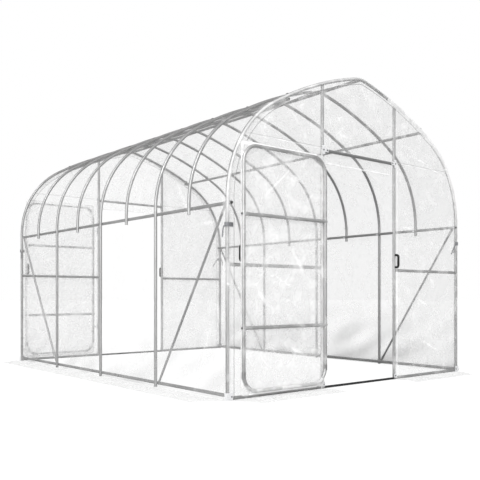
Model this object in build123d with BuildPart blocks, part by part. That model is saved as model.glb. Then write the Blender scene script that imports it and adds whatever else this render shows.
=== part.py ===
from build123d import *
import os
from math import asin, cos, degrees, radians, sin, sqrt, tan

# A walk-in polytunnel: bent steel hoops, straight rails, clear film and a swing door at each end.
# Millimetres. X runs across the tunnel, Y along it with the front at -Y, Z is up.
# The origin is the middle of the footprint, on the ground.
# Both doors are drawn open, swung flat against the outside of the gable's left panel.
# Round tube is drawn as a solid eight-sided bar, its flats the tube's diameter apart, so that
# the many bent tubes stay light and each tube lies flat against its neighbour.

# Driving dimensions of the frame
tunnel_width = 2400.0
tunnel_length = 3156.0
bay_count = 4
ridge_height = 2152.0
ridge_bend_radius = 200.0
ridge_slope = 13.0
roof_radius = 2880.0
shoulder_slope = 30.0
tube_diameter = 22.0
brace_diameter = 16.0
threshold_diameter = 16.0
side_rail_drop = 27.0
bow_tail = 40.0
mid_purlin_offset = 705.0
ridge_rail_drop = 3.0
side_base_rail_height = 24.0
mid_rail_height = 810.0
brace_clearance = 1.0
brace_tab_length = 56.0
brace_tab_width = 22.0
brace_tab_thickness = 4.0
brace_press_length = 34.0

# Driving dimensions of the doorway and the door leaf
door_post_spacing = 772.0
header_height = 1601.0
leaf_gap = 12.0
leaf_bottom = 48.0
leaf_height = 1479.0
leaf_corner_radius = 105.0
leaf_crossbars = (382.0, 1064.0)
leaf_setback = 6.0
hinge_standoff = 33.0
hinge_heights = (300.0, 1290.0)
leaf_hem = 24.0
leaf_film_edge = 3.0
flap_drop = 89.0

# Driving dimensions of the film and the fittings
film_thickness = 1.2
film_return = 48.0
skirt_width = 200.0
skirt_taper = 110.0
strap_height = 1047.0
strap_width = 26.0
strap_reach = 46.0
corner_side_reach = 26.0
strap_thickness = 1.5
foot_angle_reach = 46.0
foot_angle_height = 44.0
plate_thickness = 2.5
bracket_height = 60.0
bracket_width = 24.0
bracket_tongue = 46.0
bracket_corner = 6.0
clip_height = 32.0
clip_lift = 12.0
clip_corner = 4.0
handle_height = 878.0
handle_span = 90.0
handle_bar = 9.0
handle_bend = 15.0
handle_foot_height = 22.0
handle_foot_width = 16.0
handle_foot_thickness = 3.0
post_handle_reach = 36.0
leaf_handle_reach = 28.0
pin_diameter = 8.0
knuckle_diameter = 16.0
knuckle_height = 18.0
pin_clearance = 0.3
knuckle_gap = 1.0
arm_thickness = 3.0
saddle_thickness = 2.5
saddle_low = -55.0
saddle_high = 85.0

# Values that follow from the driving dimensions
half_width = tunnel_width / 2
half_length = tunnel_length / 2
bay = tunnel_length / bay_count
tube_radius = tube_diameter / 2
half_side_angle = radians(22.5)
corner_share = (1 - tan(half_side_angle)) / 2
tube_corner = tube_radius / cos(half_side_angle)
steep = radians(shoulder_slope)
gentle = radians(ridge_slope)
ridge_centre = Vector(0, ridge_height - ridge_bend_radius)
roof_start = ridge_centre + Vector(sin(gentle), cos(gentle)) * ridge_bend_radius
roof_centre = roof_start - Vector(sin(gentle), cos(gentle)) * roof_radius
roof_end = roof_centre + Vector(sin(steep), cos(steep)) * roof_radius
shoulder_radius = (half_width - roof_end.X) / (1 - sin(steep))
shoulder_centre = roof_end - Vector(sin(steep), cos(steep)) * shoulder_radius
leg_height = shoulder_centre.Y
side_rail_height = leg_height - side_rail_drop
gable_face = half_length + tube_radius
film_face = gable_face + film_thickness
return_face = film_face + film_thickness
rail_inset = half_width - tube_diameter
post_x = door_post_spacing / 2
hinge_y = half_length + hinge_standoff
leaf_half_width = post_x - tube_radius - leaf_gap - tube_radius
leaf_hinge_side = 2 * -post_x + leaf_half_width
leaf_free_side = leaf_hinge_side - 2 * leaf_half_width
leaf_y = 2 * hinge_y - half_length - leaf_setback
leaf_top = leaf_bottom + leaf_height


def roof_line_height(x):
    """Height of the hoop's centre line on its roof curve, at a distance from the ridge."""
    return roof_centre.Y + sqrt(roof_radius**2 - (abs(x) - roof_centre.X) ** 2)


def tube_section(width, depth):
    """Eight-sided section, its flats this width and depth apart."""
    with BuildSketch() as section:
        Rectangle(width, depth)
        chamfer(section.vertices(), min(width, depth) * corner_share)
    return section.sketch


def straight_tubes(places, plane, diameter, length):
    """Straight tubes that start on a plane at these places and run along its normal."""
    with BuildPart() as tubes:
        with BuildSketch(plane):
            with Locations(*places):
                add(tube_section(diameter, diameter))
        extrude(amount=length)
    return tubes.part


def bent_tube(path, plane, diameter):
    """A tube along a flat path that was drawn on a plane."""
    with BuildPart() as tube:
        with BuildSketch(Plane(origin=path @ 0, x_dir=plane.z_dir, z_dir=path % 0)):
            add(tube_section(diameter, diameter))
        sweep(path=path)
    return tube.part


def hoop_line(distance, bottom, plane=Plane.XY):
    """The hoop's line moved outwards by a distance: leg, shoulder, roof, ridge and back down."""
    side = half_width + distance
    rise = 90 - shoulder_slope
    sweep_of_roof = shoulder_slope - ridge_slope
    with BuildLine(plane) as outline:
        Line((side, bottom), (side, leg_height))
        CenterArc((shoulder_centre.X, leg_height), shoulder_radius + distance, 0, rise)
        CenterArc((roof_centre.X, roof_centre.Y), roof_radius + distance, rise, sweep_of_roof)
        CenterArc((0, ridge_centre.Y), ridge_bend_radius + distance, 90 - ridge_slope, 2 * ridge_slope)
        CenterArc((-roof_centre.X, roof_centre.Y), roof_radius + distance, 90 + ridge_slope, sweep_of_roof)
        CenterArc((-shoulder_centre.X, leg_height), shoulder_radius + distance, 180 - rise, rise)
        Line((-side, leg_height), (-side, bottom))
    return outline.wire()


def arch(distance, bottom=0.0):
    """Face inside the hoop's line moved outwards by a distance, standing on the bottom."""
    with BuildSketch() as section:
        with BuildLine():
            add(hoop_line(distance, bottom))
            Line((-half_width - distance, bottom), (half_width + distance, bottom))
        make_face()
    return section.sketch


def hoop(y, bottom=0.0):
    """One bent hoop that stands across the tunnel at a distance along it."""
    plane = Plane.XZ.offset(-y)
    return bent_tube(hoop_line(0, bottom, plane), plane, tube_diameter)


def export(name, builder):
    """Label a finished piece and write it under its own name."""
    builder.part.label = name
    export_step(builder.part, f"parts/{name}.step")


# Hoops: two end hoops, the full hoops between them and the short roof bows
with BuildPart() as front_hoop:
    add(hoop(-half_length))

with BuildPart() as back_hoop:
    add(hoop(half_length))

with BuildPart() as inner_hoops:
    for number in range(1, bay_count):
        add(hoop(-half_length + number * bay))

with BuildPart() as roof_bows:
    for number in range(bay_count):
        add(hoop(-half_length + (number + 0.5) * bay, side_rail_height - bow_tail))

# Ridge tubes between the hoops and bows, and long rails fastened to the inner side of every hoop
arch_spacing = bay / 2
ridge_rail_height = ridge_height - ridge_rail_drop
purlin_radius = roof_radius - tube_diameter
purlin_angle = asin((mid_purlin_offset - roof_centre.X) / purlin_radius)
mid_purlin_height = roof_centre.Y + purlin_radius * cos(purlin_angle)

with BuildPart() as ridge_purlin:
    for number in range(2 * bay_count):
        start = Plane.XZ.offset(half_length - tube_radius - number * arch_spacing)
        add(straight_tubes([(0, ridge_rail_height)], start, tube_diameter, tube_diameter - arch_spacing))


def pair_of_rails(x, height, reach, tilt=0.0):
    """Two rails along the tunnel that reach this far from its middle, turned to lie on the hoops."""
    places = [Location((-x, height), tilt), Location((x, height), -tilt)]
    return straight_tubes(places, Plane.XZ.offset(reach), tube_diameter, -2 * reach)


with BuildPart() as mid_purlins:
    add(pair_of_rails(mid_purlin_offset, mid_purlin_height, gable_face, degrees(purlin_angle)))

with BuildPart() as side_rails:
    add(pair_of_rails(rail_inset, side_rail_height, gable_face))

with BuildPart() as base_rails:
    add(pair_of_rails(rail_inset, side_base_rail_height, half_length - tube_radius))

# Diagonal braces in the four corner bays, their tube ends pressed flat
# Each tab is bolted on the outer faces of the rails, beside the hoop that stands there
brace_face = half_width - tube_radius
brace_middle = brace_face + brace_tab_thickness / 2
brace_inset = tube_radius + brace_tab_width / 2 + brace_clearance
brace_start = Vector(brace_middle, -half_length + brace_inset, side_rail_height)
brace_end = Vector(brace_middle, -half_length + bay - brace_inset, side_base_rail_height)
brace_run = brace_end - brace_start
brace_along = brace_run.normalized()


def brace_plane(distance):
    """Plane across the brace at a distance along it."""
    return Plane(origin=brace_start + brace_along * distance, x_dir=(1, 0, 0), z_dir=brace_run)


with BuildPart() as corner_braces:
    press_start = brace_tab_length / 2
    tube_start = press_start + brace_press_length
    with BuildSketch(brace_plane(tube_start)):
        add(tube_section(brace_diameter, brace_diameter))
    extrude(amount=brace_run.length - 2 * tube_start)
    for tab, full in (
        (press_start, tube_start),
        (brace_run.length - press_start, brace_run.length - tube_start),
    ):
        with BuildSketch(brace_plane(tab)):
            add(tube_section(brace_tab_thickness, brace_tab_width))
        with BuildSketch(brace_plane(full)):
            add(tube_section(brace_diameter, brace_diameter))
        loft(ruled=True)
    tab_middle = (brace_tab_length - brace_tab_width) / 2
    with BuildSketch(Plane(origin=brace_start, x_dir=brace_run, z_dir=(-1, 0, 0))):
        with Locations((tab_middle, 0), (brace_run.length - tab_middle, 0)):
            SlotOverall(brace_tab_length, brace_tab_width)
    extrude(amount=brace_tab_thickness / 2, both=True)
    mirror(about=Plane.YZ)
    mirror(about=Plane.XZ)

# Gable framing: door posts, headers, mid rails, base rails and thresholds
post_corners = [(x, y) for x in (-post_x, post_x) for y in (-half_length, half_length)]
post_height = roof_line_height(post_x + tube_radius)

with BuildPart() as door_posts:
    add(straight_tubes(post_corners, Plane.XY, tube_diameter, post_height))
    add(front_hoop.part, mode=Mode.SUBTRACT)
    add(back_hoop.part, mode=Mode.SUBTRACT)


def doorway_bars(height, diameter):
    """A bar across each doorway, its ends cut to fit the posts."""
    with BuildPart() as bars:
        places = [(-half_length, height), (half_length, height)]
        add(straight_tubes(places, Plane.YZ.offset(-post_x), diameter, door_post_spacing))
        add(door_posts.part, mode=Mode.SUBTRACT)
    return bars.part


with BuildPart() as door_headers:
    add(doorway_bars(header_height, tube_diameter))

with BuildPart() as thresholds:
    add(doorway_bars(threshold_diameter / 2, threshold_diameter))


def gable_rails(height):
    """Four rails between the corner legs and the door posts, their ends cut to fit the tubes."""
    with BuildPart() as rails:
        places = [(-half_length, height), (half_length, height)]
        add(straight_tubes(places, Plane.YZ.offset(post_x), tube_diameter, half_width - post_x))
        mirror(about=Plane.YZ)
        add(door_posts.part, mode=Mode.SUBTRACT)
        add(front_hoop.part, mode=Mode.SUBTRACT)
        add(back_hoop.part, mode=Mode.SUBTRACT)
    return rails.part


with BuildPart() as gable_mid_rails:
    add(gable_rails(mid_rail_height))

with BuildPart() as gable_base_rails:
    add(gable_rails(tube_radius))

# Film of the long sides and the roof, drawn on the right half and mirrored
beyond = tunnel_width + tunnel_length
shoulder_ray = shoulder_centre + Vector(sin(steep), cos(steep)) * beyond


def film_band():
    """Right half of the film's section, from the ground to the ridge."""
    with BuildSketch() as band:
        add(arch(tube_radius + film_thickness))
        add(arch(tube_radius), mode=Mode.SUBTRACT)
        Rectangle(beyond, 2 * beyond, align=(Align.MIN, Align.CENTER), mode=Mode.INTERSECT)
    return band.sketch


def wall_zone():
    """Region beside the straight legs."""
    with BuildSketch() as zone:
        with Locations((shoulder_centre.X, 0)):
            Rectangle(beyond, leg_height, align=(Align.MIN, Align.MIN))
    return zone.sketch


def shoulder_zone():
    """Region that the shoulder bend sweeps over."""
    with BuildSketch() as zone:
        with BuildLine():
            centre = (shoulder_centre.X, leg_height)
            Polyline(centre, (beyond, leg_height), (shoulder_ray.X, shoulder_ray.Y), close=True)
        make_face()
    return zone.sketch


with BuildPart() as right_wall_film:
    with BuildSketch(Plane.XZ.offset(return_face)):
        add(film_band())
        add(wall_zone(), mode=Mode.INTERSECT)
    extrude(amount=-2 * return_face)

with BuildPart() as right_shoulder_film:
    with BuildSketch(Plane.XZ.offset(return_face)):
        add(film_band())
        add(shoulder_zone(), mode=Mode.INTERSECT)
    extrude(amount=-2 * return_face)

with BuildPart() as right_roof_film:
    with BuildSketch(Plane.XZ.offset(return_face)):
        add(film_band())
        add(wall_zone(), mode=Mode.SUBTRACT)
        add(shoulder_zone(), mode=Mode.SUBTRACT)
    extrude(amount=-2 * return_face)

with BuildPart() as left_wall_film:
    mirror(right_wall_film.part, about=Plane.YZ)

with BuildPart() as left_shoulder_film:
    mirror(right_shoulder_film.part, about=Plane.YZ)

with BuildPart() as left_roof_film:
    mirror(right_roof_film.part, about=Plane.YZ)

# The cover's edge, turned round the end hoops onto the gables
with BuildPart() as cover_returns:
    with BuildSketch(Plane.XZ.offset(film_face)):
        add(arch(tube_radius, film_thickness))
        add(arch(-film_return, film_thickness), mode=Mode.SUBTRACT)
    extrude(amount=film_thickness)
    mirror(about=Plane.XZ)


# Gable film: one panel each side of the doorway and one over it
def gable_panel(left, right, bottom):
    """Flat film on the front gable between two upright lines, up to the hoop."""
    with BuildPart() as panel:
        with BuildSketch(Plane.XZ.offset(gable_face)):
            add(arch(tube_radius))
            with Locations(((left + right) / 2, bottom + beyond / 2)):
                Rectangle(right - left, beyond, mode=Mode.INTERSECT)
        extrude(amount=film_thickness)
    return panel.part


door_edge = post_x - tube_radius
panel_edge = half_width + tube_radius

with BuildPart() as front_left_panel:
    add(gable_panel(-panel_edge, -door_edge, 0))

with BuildPart() as front_right_panel:
    add(gable_panel(door_edge, panel_edge, 0))

with BuildPart() as front_top_panel:
    add(gable_panel(-door_edge, door_edge, header_height - tube_radius))

with BuildPart() as back_left_panel:
    mirror(front_left_panel.part, about=Plane.XZ)

with BuildPart() as back_right_panel:
    mirror(front_right_panel.part, about=Plane.XZ)

with BuildPart() as back_top_panel:
    mirror(front_top_panel.part, about=Plane.XZ)

# Rain flaps that hang behind the headers
with BuildPart() as door_flaps:
    flap_top = header_height + tube_radius
    flap_bottom = header_height - flap_drop
    with BuildSketch(Plane.XZ.offset(half_length - tube_radius)):
        with Locations((0, (flap_top + flap_bottom) / 2)):
            Rectangle(2 * door_edge - leaf_gap, flap_top - flap_bottom)
    extrude(amount=-film_thickness)
    mirror(about=Plane.XZ)

# Ground skirts: the film's foot, turned out flat so that it can be weighted down
wall_face = half_width + tube_radius + film_thickness


def skirt_outline(corners):
    """Flat strip of film on the ground with these corners."""
    with BuildPart() as strip:
        with BuildSketch():
            with BuildLine():
                Polyline(*corners, close=True)
            make_face()
        extrude(amount=film_thickness)
    return strip.part


with BuildPart() as right_skirt:
    far_side = wall_face + skirt_width
    tapered_end = return_face - skirt_taper
    side_corners = [
        (wall_face, -return_face),
        (far_side, -tapered_end),
        (far_side, tapered_end),
        (wall_face, return_face),
    ]
    add(skirt_outline(side_corners))

with BuildPart() as left_skirt:
    mirror(right_skirt.part, about=Plane.YZ)

with BuildPart() as gable_skirts:
    far_end = film_face + skirt_width
    gable_corners = [
        (door_edge, -film_face),
        (door_edge, -far_end),
        (panel_edge - skirt_taper, -far_end),
        (panel_edge, -film_face),
    ]
    add(skirt_outline(gable_corners))
    mirror(about=Plane.YZ)
    mirror(about=Plane.XZ)


# Small plates and straps outside the film
def corner_angle(reach, height, thickness, bottom):
    """Angle strip that hugs the front right corner of the film, with its long leg on the gable."""
    with BuildPart() as angle:
        with BuildSketch(Plane.XY.offset(bottom)):
            with Locations((wall_face + thickness, -return_face - thickness)):
                Rectangle(reach, thickness, align=(Align.MAX, Align.MIN))
                Rectangle(thickness, corner_side_reach, align=(Align.MAX, Align.MIN))
        extrude(amount=height)
    return angle.part


with BuildPart() as corner_feet:
    add(corner_angle(foot_angle_reach, foot_angle_height, plate_thickness, film_thickness))
    mirror(about=Plane.YZ)
    mirror(about=Plane.XZ)

with BuildPart() as corner_straps:
    add(corner_angle(strap_reach, strap_width, strap_thickness, strap_height - strap_width / 2))
    mirror(about=Plane.YZ)
    mirror(about=Plane.XZ)

with BuildPart() as header_brackets:
    with BuildSketch(Plane.XZ.offset(film_face)):
        with Locations((post_x, header_height)):
            Rectangle(bracket_width, bracket_height)
            Rectangle(bracket_tongue, bracket_width, align=(Align.MAX, Align.CENTER))
        fillet([v for v in vertices() if v.X > post_x], bracket_corner)
    extrude(amount=plate_thickness)
    mirror(about=Plane.YZ)
    mirror(about=Plane.XZ)

with BuildPart() as post_clips:
    with BuildSketch(Plane.XZ.offset(film_face)):
        with Locations((post_x, film_thickness + clip_lift)):
            RectangleRounded(bracket_width, clip_height, clip_corner, align=(Align.CENTER, Align.MIN))
    extrude(amount=plate_thickness)
    mirror(about=Plane.YZ)
    mirror(about=Plane.XZ)


def pull_handle(x, y, reach):
    """Bowed pull handle on two feet, standing out from a face along Y by a signed reach."""
    low = handle_height - handle_span / 2
    high = handle_height + handle_span / 2
    plane = Plane.YZ.offset(x)
    corners = [(y, low), (y + reach, low), (y + reach, high), (y, high)]
    foot_depth = handle_foot_thickness if reach > 0 else -handle_foot_thickness
    with BuildPart() as handle:
        with BuildLine(plane) as path:
            FilletPolyline(*corners, radius=handle_bend)
        add(bent_tube(path.wire(), plane, handle_bar))
        with BuildSketch(Plane.XZ.offset(-y)):
            with Locations((x, low), (x, high)):
                add(tube_section(handle_foot_width, handle_foot_height))
        extrude(amount=-foot_depth)
    return handle.part


handle_bow = handle_bar / 2
with BuildPart() as post_handles:
    add(pull_handle(post_x, -film_face, handle_bow - post_handle_reach))
    mirror(about=Plane.XZ)

# Hinges: fixed knuckles and pins on the left posts, moving knuckles on the leaves
knuckle_pitch = knuckle_height + knuckle_gap
pin_x = -post_x
pin_radius = pin_diameter / 2


def hinge_levels(offsets):
    """Heights of the undersides of a set of knuckles, for every hinge."""
    return [height + offset for height in hinge_heights for offset in offsets]


fixed_levels = hinge_levels((-knuckle_height / 2 - knuckle_pitch, knuckle_height / 2 + knuckle_gap))
moving_levels = hinge_levels((-knuckle_height / 2,))
plate_height = 3 * knuckle_height + 2 * knuckle_gap

with BuildPart() as post_hinges:
    for level in fixed_levels:
        with BuildSketch(Plane.XY.offset(level)):
            with Locations((pin_x, -hinge_y)):
                Circle(knuckle_diameter / 2)
            with Locations((pin_x, -film_face)):
                Rectangle(plate_thickness, hinge_y - film_face, align=(Align.CENTER, Align.MAX))
        extrude(amount=knuckle_height)
    for height in hinge_heights:
        with BuildSketch(Plane.XY.offset(height - plate_height / 2)):
            with Locations((pin_x, -hinge_y)):
                Circle(pin_radius)
            with Locations((pin_x, -film_face)):
                Rectangle(tube_diameter, plate_thickness, align=(Align.CENTER, Align.MAX))
        extrude(amount=plate_height)
    mirror(about=Plane.XZ)

# Door leaf: a bent tube frame with two crossbars, a film panel, hinge arms and a pull handle
leaf_plane = Plane.XZ.offset(leaf_y)
leaf_corners = [
    (leaf_free_side, leaf_bottom),
    (leaf_hinge_side, leaf_bottom),
    (leaf_hinge_side, leaf_top),
    (leaf_free_side, leaf_top),
]
with BuildPart() as front_door_frame:
    with BuildLine(leaf_plane) as leaf_path:
        FilletPolyline(*leaf_corners, radius=leaf_corner_radius, close=True)
    add(bent_tube(leaf_path.wire(), leaf_plane, tube_diameter))
    crossbar_places = [(-leaf_y, leaf_bottom + height) for height in leaf_crossbars]
    bar_start = Plane.YZ.offset(leaf_free_side)
    add(straight_tubes(crossbar_places, bar_start, tube_diameter, 2 * leaf_half_width))

leaf_film_face = leaf_y - tube_radius
with BuildPart() as front_door_film:
    film_left = leaf_free_side - tube_radius - leaf_film_edge
    with BuildSketch(Plane.XZ.offset(leaf_film_face)):
        with Locations(((film_left + leaf_hinge_side) / 2, (leaf_bottom + leaf_top) / 2)):
            RectangleRounded(
                leaf_hinge_side - film_left, leaf_height + 2 * leaf_hem, leaf_corner_radius + leaf_hem
            )
    extrude(amount=-film_thickness)

with BuildPart() as front_door_handle:
    add(pull_handle(leaf_free_side, film_thickness - leaf_film_face, leaf_handle_reach - handle_bow))

arm_vector = Vector(leaf_hinge_side - pin_x, hinge_y - leaf_y, 0)
arm_angle = arm_vector.reverse().get_signed_angle(Vector(1, 0, 0), Vector(0, 0, -1))
with BuildPart() as front_door_hinges:
    for level in moving_levels:
        with BuildSketch(Plane.XY.offset(level)):
            with Locations((pin_x, -hinge_y)):
                Circle(knuckle_diameter / 2)
            with Locations(Location((pin_x, -hinge_y), arm_angle + 180)):
                Rectangle(
                    arm_vector.length - tube_corner,
                    arm_thickness,
                    align=(Align.MIN, Align.CENTER),
                )
            with BuildLine():
                saddle_out = tube_corner + saddle_thickness
                CenterArc(
                    (leaf_hinge_side, -leaf_y), saddle_out, saddle_low, saddle_high - saddle_low
                )
                CenterArc(
                    (leaf_hinge_side, -leaf_y), tube_corner, saddle_low, saddle_high - saddle_low
                )
                for angle in (saddle_low, saddle_high):
                    direction = Vector(cos(radians(angle)), sin(radians(angle)))
                    middle = Vector(leaf_hinge_side, -leaf_y)
                    Line(middle + direction * tube_corner, middle + direction * saddle_out)
            make_face()
            with Locations((pin_x, -hinge_y)):
                Circle(pin_radius + pin_clearance, mode=Mode.SUBTRACT)
        extrude(amount=knuckle_height)

with BuildPart() as back_door_frame:
    mirror(front_door_frame.part, about=Plane.XZ)

with BuildPart() as back_door_film:
    mirror(front_door_film.part, about=Plane.XZ)

with BuildPart() as back_door_handle:
    mirror(front_door_handle.part, about=Plane.XZ)

with BuildPart() as back_door_hinges:
    mirror(front_door_hinges.part, about=Plane.XZ)

os.makedirs("parts", exist_ok=True)
pieces = {
    "front_hoop": front_hoop,
    "back_hoop": back_hoop,
    "inner_hoops": inner_hoops,
    "roof_bows": roof_bows,
    "ridge_purlin": ridge_purlin,
    "mid_purlins": mid_purlins,
    "side_rails": side_rails,
    "base_rails": base_rails,
    "corner_braces": corner_braces,
    "door_posts": door_posts,
    "door_headers": door_headers,
    "thresholds": thresholds,
    "gable_mid_rails": gable_mid_rails,
    "gable_base_rails": gable_base_rails,
    "right_wall_film": right_wall_film,
    "left_wall_film": left_wall_film,
    "right_shoulder_film": right_shoulder_film,
    "left_shoulder_film": left_shoulder_film,
    "right_roof_film": right_roof_film,
    "left_roof_film": left_roof_film,
    "cover_returns": cover_returns,
    "front_left_panel": front_left_panel,
    "front_right_panel": front_right_panel,
    "front_top_panel": front_top_panel,
    "back_left_panel": back_left_panel,
    "back_right_panel": back_right_panel,
    "back_top_panel": back_top_panel,
    "door_flaps": door_flaps,
    "right_skirt": right_skirt,
    "left_skirt": left_skirt,
    "gable_skirts": gable_skirts,
    "corner_feet": corner_feet,
    "corner_straps": corner_straps,
    "header_brackets": header_brackets,
    "post_clips": post_clips,
    "post_handles": post_handles,
    "post_hinges": post_hinges,
    "front_door_frame": front_door_frame,
    "front_door_film": front_door_film,
    "front_door_handle": front_door_handle,
    "front_door_hinges": front_door_hinges,
    "back_door_frame": back_door_frame,
    "back_door_film": back_door_film,
    "back_door_handle": back_door_handle,
    "back_door_hinges": back_door_hinges,
}
for piece_name, piece in pieces.items():
    export(piece_name, piece)
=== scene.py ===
"""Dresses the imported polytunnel: round tube, clear wrinkled film, straps, bolts, a white studio and camera.

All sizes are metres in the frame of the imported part: X across the tunnel, Y along it, Z up.
"""
import logging
import math
from dataclasses import dataclass
from enum import Enum, IntEnum

import bmesh
import bpy
import numpy as np
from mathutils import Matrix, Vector


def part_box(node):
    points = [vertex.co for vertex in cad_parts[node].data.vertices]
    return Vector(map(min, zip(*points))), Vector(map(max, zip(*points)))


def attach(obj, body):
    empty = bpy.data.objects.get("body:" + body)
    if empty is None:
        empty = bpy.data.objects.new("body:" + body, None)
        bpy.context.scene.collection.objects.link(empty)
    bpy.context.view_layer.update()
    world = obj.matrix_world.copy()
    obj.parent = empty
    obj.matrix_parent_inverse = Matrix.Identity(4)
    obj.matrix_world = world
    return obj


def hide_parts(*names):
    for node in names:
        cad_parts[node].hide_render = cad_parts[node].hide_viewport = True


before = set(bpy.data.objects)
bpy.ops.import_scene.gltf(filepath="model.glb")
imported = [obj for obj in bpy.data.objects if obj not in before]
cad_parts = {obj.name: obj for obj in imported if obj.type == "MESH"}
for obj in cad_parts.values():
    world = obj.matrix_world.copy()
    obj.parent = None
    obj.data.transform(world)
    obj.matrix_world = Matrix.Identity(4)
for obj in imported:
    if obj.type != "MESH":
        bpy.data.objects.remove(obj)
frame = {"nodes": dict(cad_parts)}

MM = 0.001
TURN = 2 * math.pi
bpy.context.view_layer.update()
log = logging.getLogger("polytunnel")
Mark = np.ndarray | float
Socket = bpy.types.NodeSocket


class Body(Enum):
    """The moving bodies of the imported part."""

    FRAME = "frame"
    FRONT_DOOR = "front_door"
    BACK_DOOR = "back_door"


class Side(Enum):
    """Which half of the cover: its sign along X."""

    LOW = -1.0
    HIGH = 1.0


class Slot(Enum):
    """The record's material slots."""

    TUBE = "galvanised_tube"
    ZINC = "zinc_plate"
    DARK = "dark_steel"
    PLASTIC = "black_plastic"
    WEBBING = "webbing"
    FILM = "clear_film"


class Seed(IntEnum):
    """Seeds of the random folds; a surface with several patterns adds a step to its seed for each."""

    PANEL_LEFT = 3
    PANEL_RIGHT = 4
    BAND = 5
    PANEL_TOP = 6
    COVER_RIGHT = 11
    COVER_LEFT = 12
    FLAP = 31
    SKIRT_SIDE = 41
    SKIRT_GABLE = 43
    LEAF_SLANT = 61
    LEAF_SWELL = 62
    LEAF_CREASES = 81


@dataclass
class Patch:
    """Points and quads of one or more surfaces.

    Film also has marks at each point: how many layers lie there, how white it is, from doubled
    film and painted highlights on creases, and how grey it is, from cut edges and painted shade.
    """

    points: np.ndarray
    quads: np.ndarray
    marks: np.ndarray | None = None

    @staticmethod
    def joined(patches: list["Patch"]) -> "Patch":
        """One patch that holds all of these."""
        starts = np.cumsum([0] + [len(patch.points) for patch in patches[:-1]])
        quads = [patch.quads + start for patch, start in zip(patches, starts)]
        marks = None if patches[0].marks is None else np.vstack([patch.marks for patch in patches])
        return Patch(np.vstack([patch.points for patch in patches]), np.vstack(quads), marks)

    def flipped(self, axis: int) -> "Patch":
        """The mirror image across the plane where that coordinate is zero."""
        other = self.points.copy()
        other[:, axis] *= -1
        return Patch(other, self.quads[:, ::-1], self.marks)

    def mirrored(self, *axes: int) -> "Patch":
        """This patch with its mirror image, for each of these axes in turn."""
        patch = self
        for axis in axes:
            patch = Patch.joined([patch, patch.flipped(axis)])
        return patch

    def doubled_areas(self) -> np.ndarray:
        """Length of the cross product of each quad's diagonals, which is twice its area."""
        a, b, c, d = (self.points[self.quads[:, i]] for i in range(4))
        return np.linalg.norm(np.cross(c - a, d - b), axis=1)

    def trimmed(self) -> "Patch":
        """This patch without the quads that have no area."""
        return Patch(self.points, self.quads[self.doubled_areas() > 1e-9], self.marks)

    def area(self) -> float:
        """Area of all quads."""
        return float(self.doubled_areas().sum() / 2)

    def flat_size(self, long: float) -> tuple[float, float]:
        """Width and length of a flat strip with this patch's area, from its length."""
        return round(self.area() / long, 3), long


def grid_patch(points: np.ndarray, loop_rows: bool = False, loop_columns: bool = False) -> Patch:
    """Quads over a grid of points.

    Args:
        points: array of rows by columns by 3.
        loop_rows: joins the last row to the first.
        loop_columns: joins the last column to the first.

    Returns:
        The patch, with one quad between each four neighbours on the grid.
    """
    rows, columns = points.shape[:2]
    number = np.arange(rows * columns).reshape(rows, columns)
    below = np.roll(number, -1, axis=0)
    quads = np.stack([number, np.roll(number, -1, axis=1), np.roll(below, -1, axis=1), below], axis=-1)
    quads = quads[: rows if loop_rows else rows - 1, : columns if loop_columns else columns - 1]
    return Patch(points.reshape(-1, 3), quads.reshape(-1, 4))


def film_patch(grid: np.ndarray, layers: Mark, milk_and_highlight: Mark, edge: Mark, loop: bool = False) -> Patch:
    """Film over a grid of points, with each mark one number or an array over the grid."""
    marks = [np.broadcast_to(mark, grid.shape[:2]).ravel() for mark in (layers, milk_and_highlight, edge)]
    plain = grid_patch(grid, loop_rows=loop)
    return Patch(plain.points, plain.quads, np.stack(marks, axis=1).astype(float))


def unit(vectors: np.ndarray) -> np.ndarray:
    """Vectors of length one along the last axis."""
    return vectors / np.maximum(np.linalg.norm(vectors, axis=-1, keepdims=True), 1e-12)


def circles(first: np.ndarray, second: np.ndarray, angle: np.ndarray) -> np.ndarray:
    """First times the angle's cosine plus second times its sine, as directions by angles by 3."""
    return np.cos(angle)[None, :, None] * first[:, None, :] + np.sin(angle)[None, :, None] * second[:, None, :]


def around(count: int) -> np.ndarray:
    """Even angles round a full turn."""
    return np.linspace(0, TURN, count, endpoint=False)


def run_along(path: np.ndarray) -> np.ndarray:
    """Length of a flat path up to each of its points."""
    return np.concatenate([[0], np.cumsum(np.hypot(*np.diff(path, axis=0).T))])


def tangents(path: np.ndarray, loop: bool) -> np.ndarray:
    """Directions along a path, which may be closed."""
    return unit(np.roll(path, -1, axis=0) - np.roll(path, 1, axis=0) if loop else np.gradient(path, axis=0))


def tube_patch(
    path: np.ndarray, side: tuple, radius: float, wall: float = 1.2 * MM, sides: int = 20, loop: bool = False
) -> Patch:
    """Round tube along a flat path, with open ends that show the wall.

    Each ring is the path's point plus radius times (cosine of the angle times the path's own
    normal plus sine of the angle times the direction across the path's plane). At an open end
    the rings turn in by the wall, run back inside the bore and close there.

    Args:
        path: points by 3.
        side: direction across the plane that the path lies in.
        radius: outer radius.
        wall: thickness of the tube's wall.
        sides: points round one ring.
        loop: joins the end to the start, as for a door's frame.

    Returns:
        The patch.
    """
    tangent = tangents(path, loop)
    radii = np.full(len(path), radius)
    if not loop:
        inside, bore = 12 * MM, radius - wall
        head, tail = path[0], path[-1]
        head_in, tail_in = head + tangent[0] * inside, tail - tangent[-1] * inside
        path = np.vstack([[head_in, head_in, head], path, [tail, tail_in, tail_in]])
        tangent = np.vstack([np.repeat(tangent[:1], 3, 0), tangent, np.repeat(tangent[-1:], 3, 0)])
        radii = np.concatenate([[0, bore, bore], radii, [bore, bore, 0]])
    across = unit(np.broadcast_to(np.array(side, float), path.shape))
    ring = circles(np.cross(across, tangent), across, around(sides))
    return grid_patch(path[:, None, :] + radii[:, None, None] * ring, loop_rows=loop, loop_columns=True)


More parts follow.
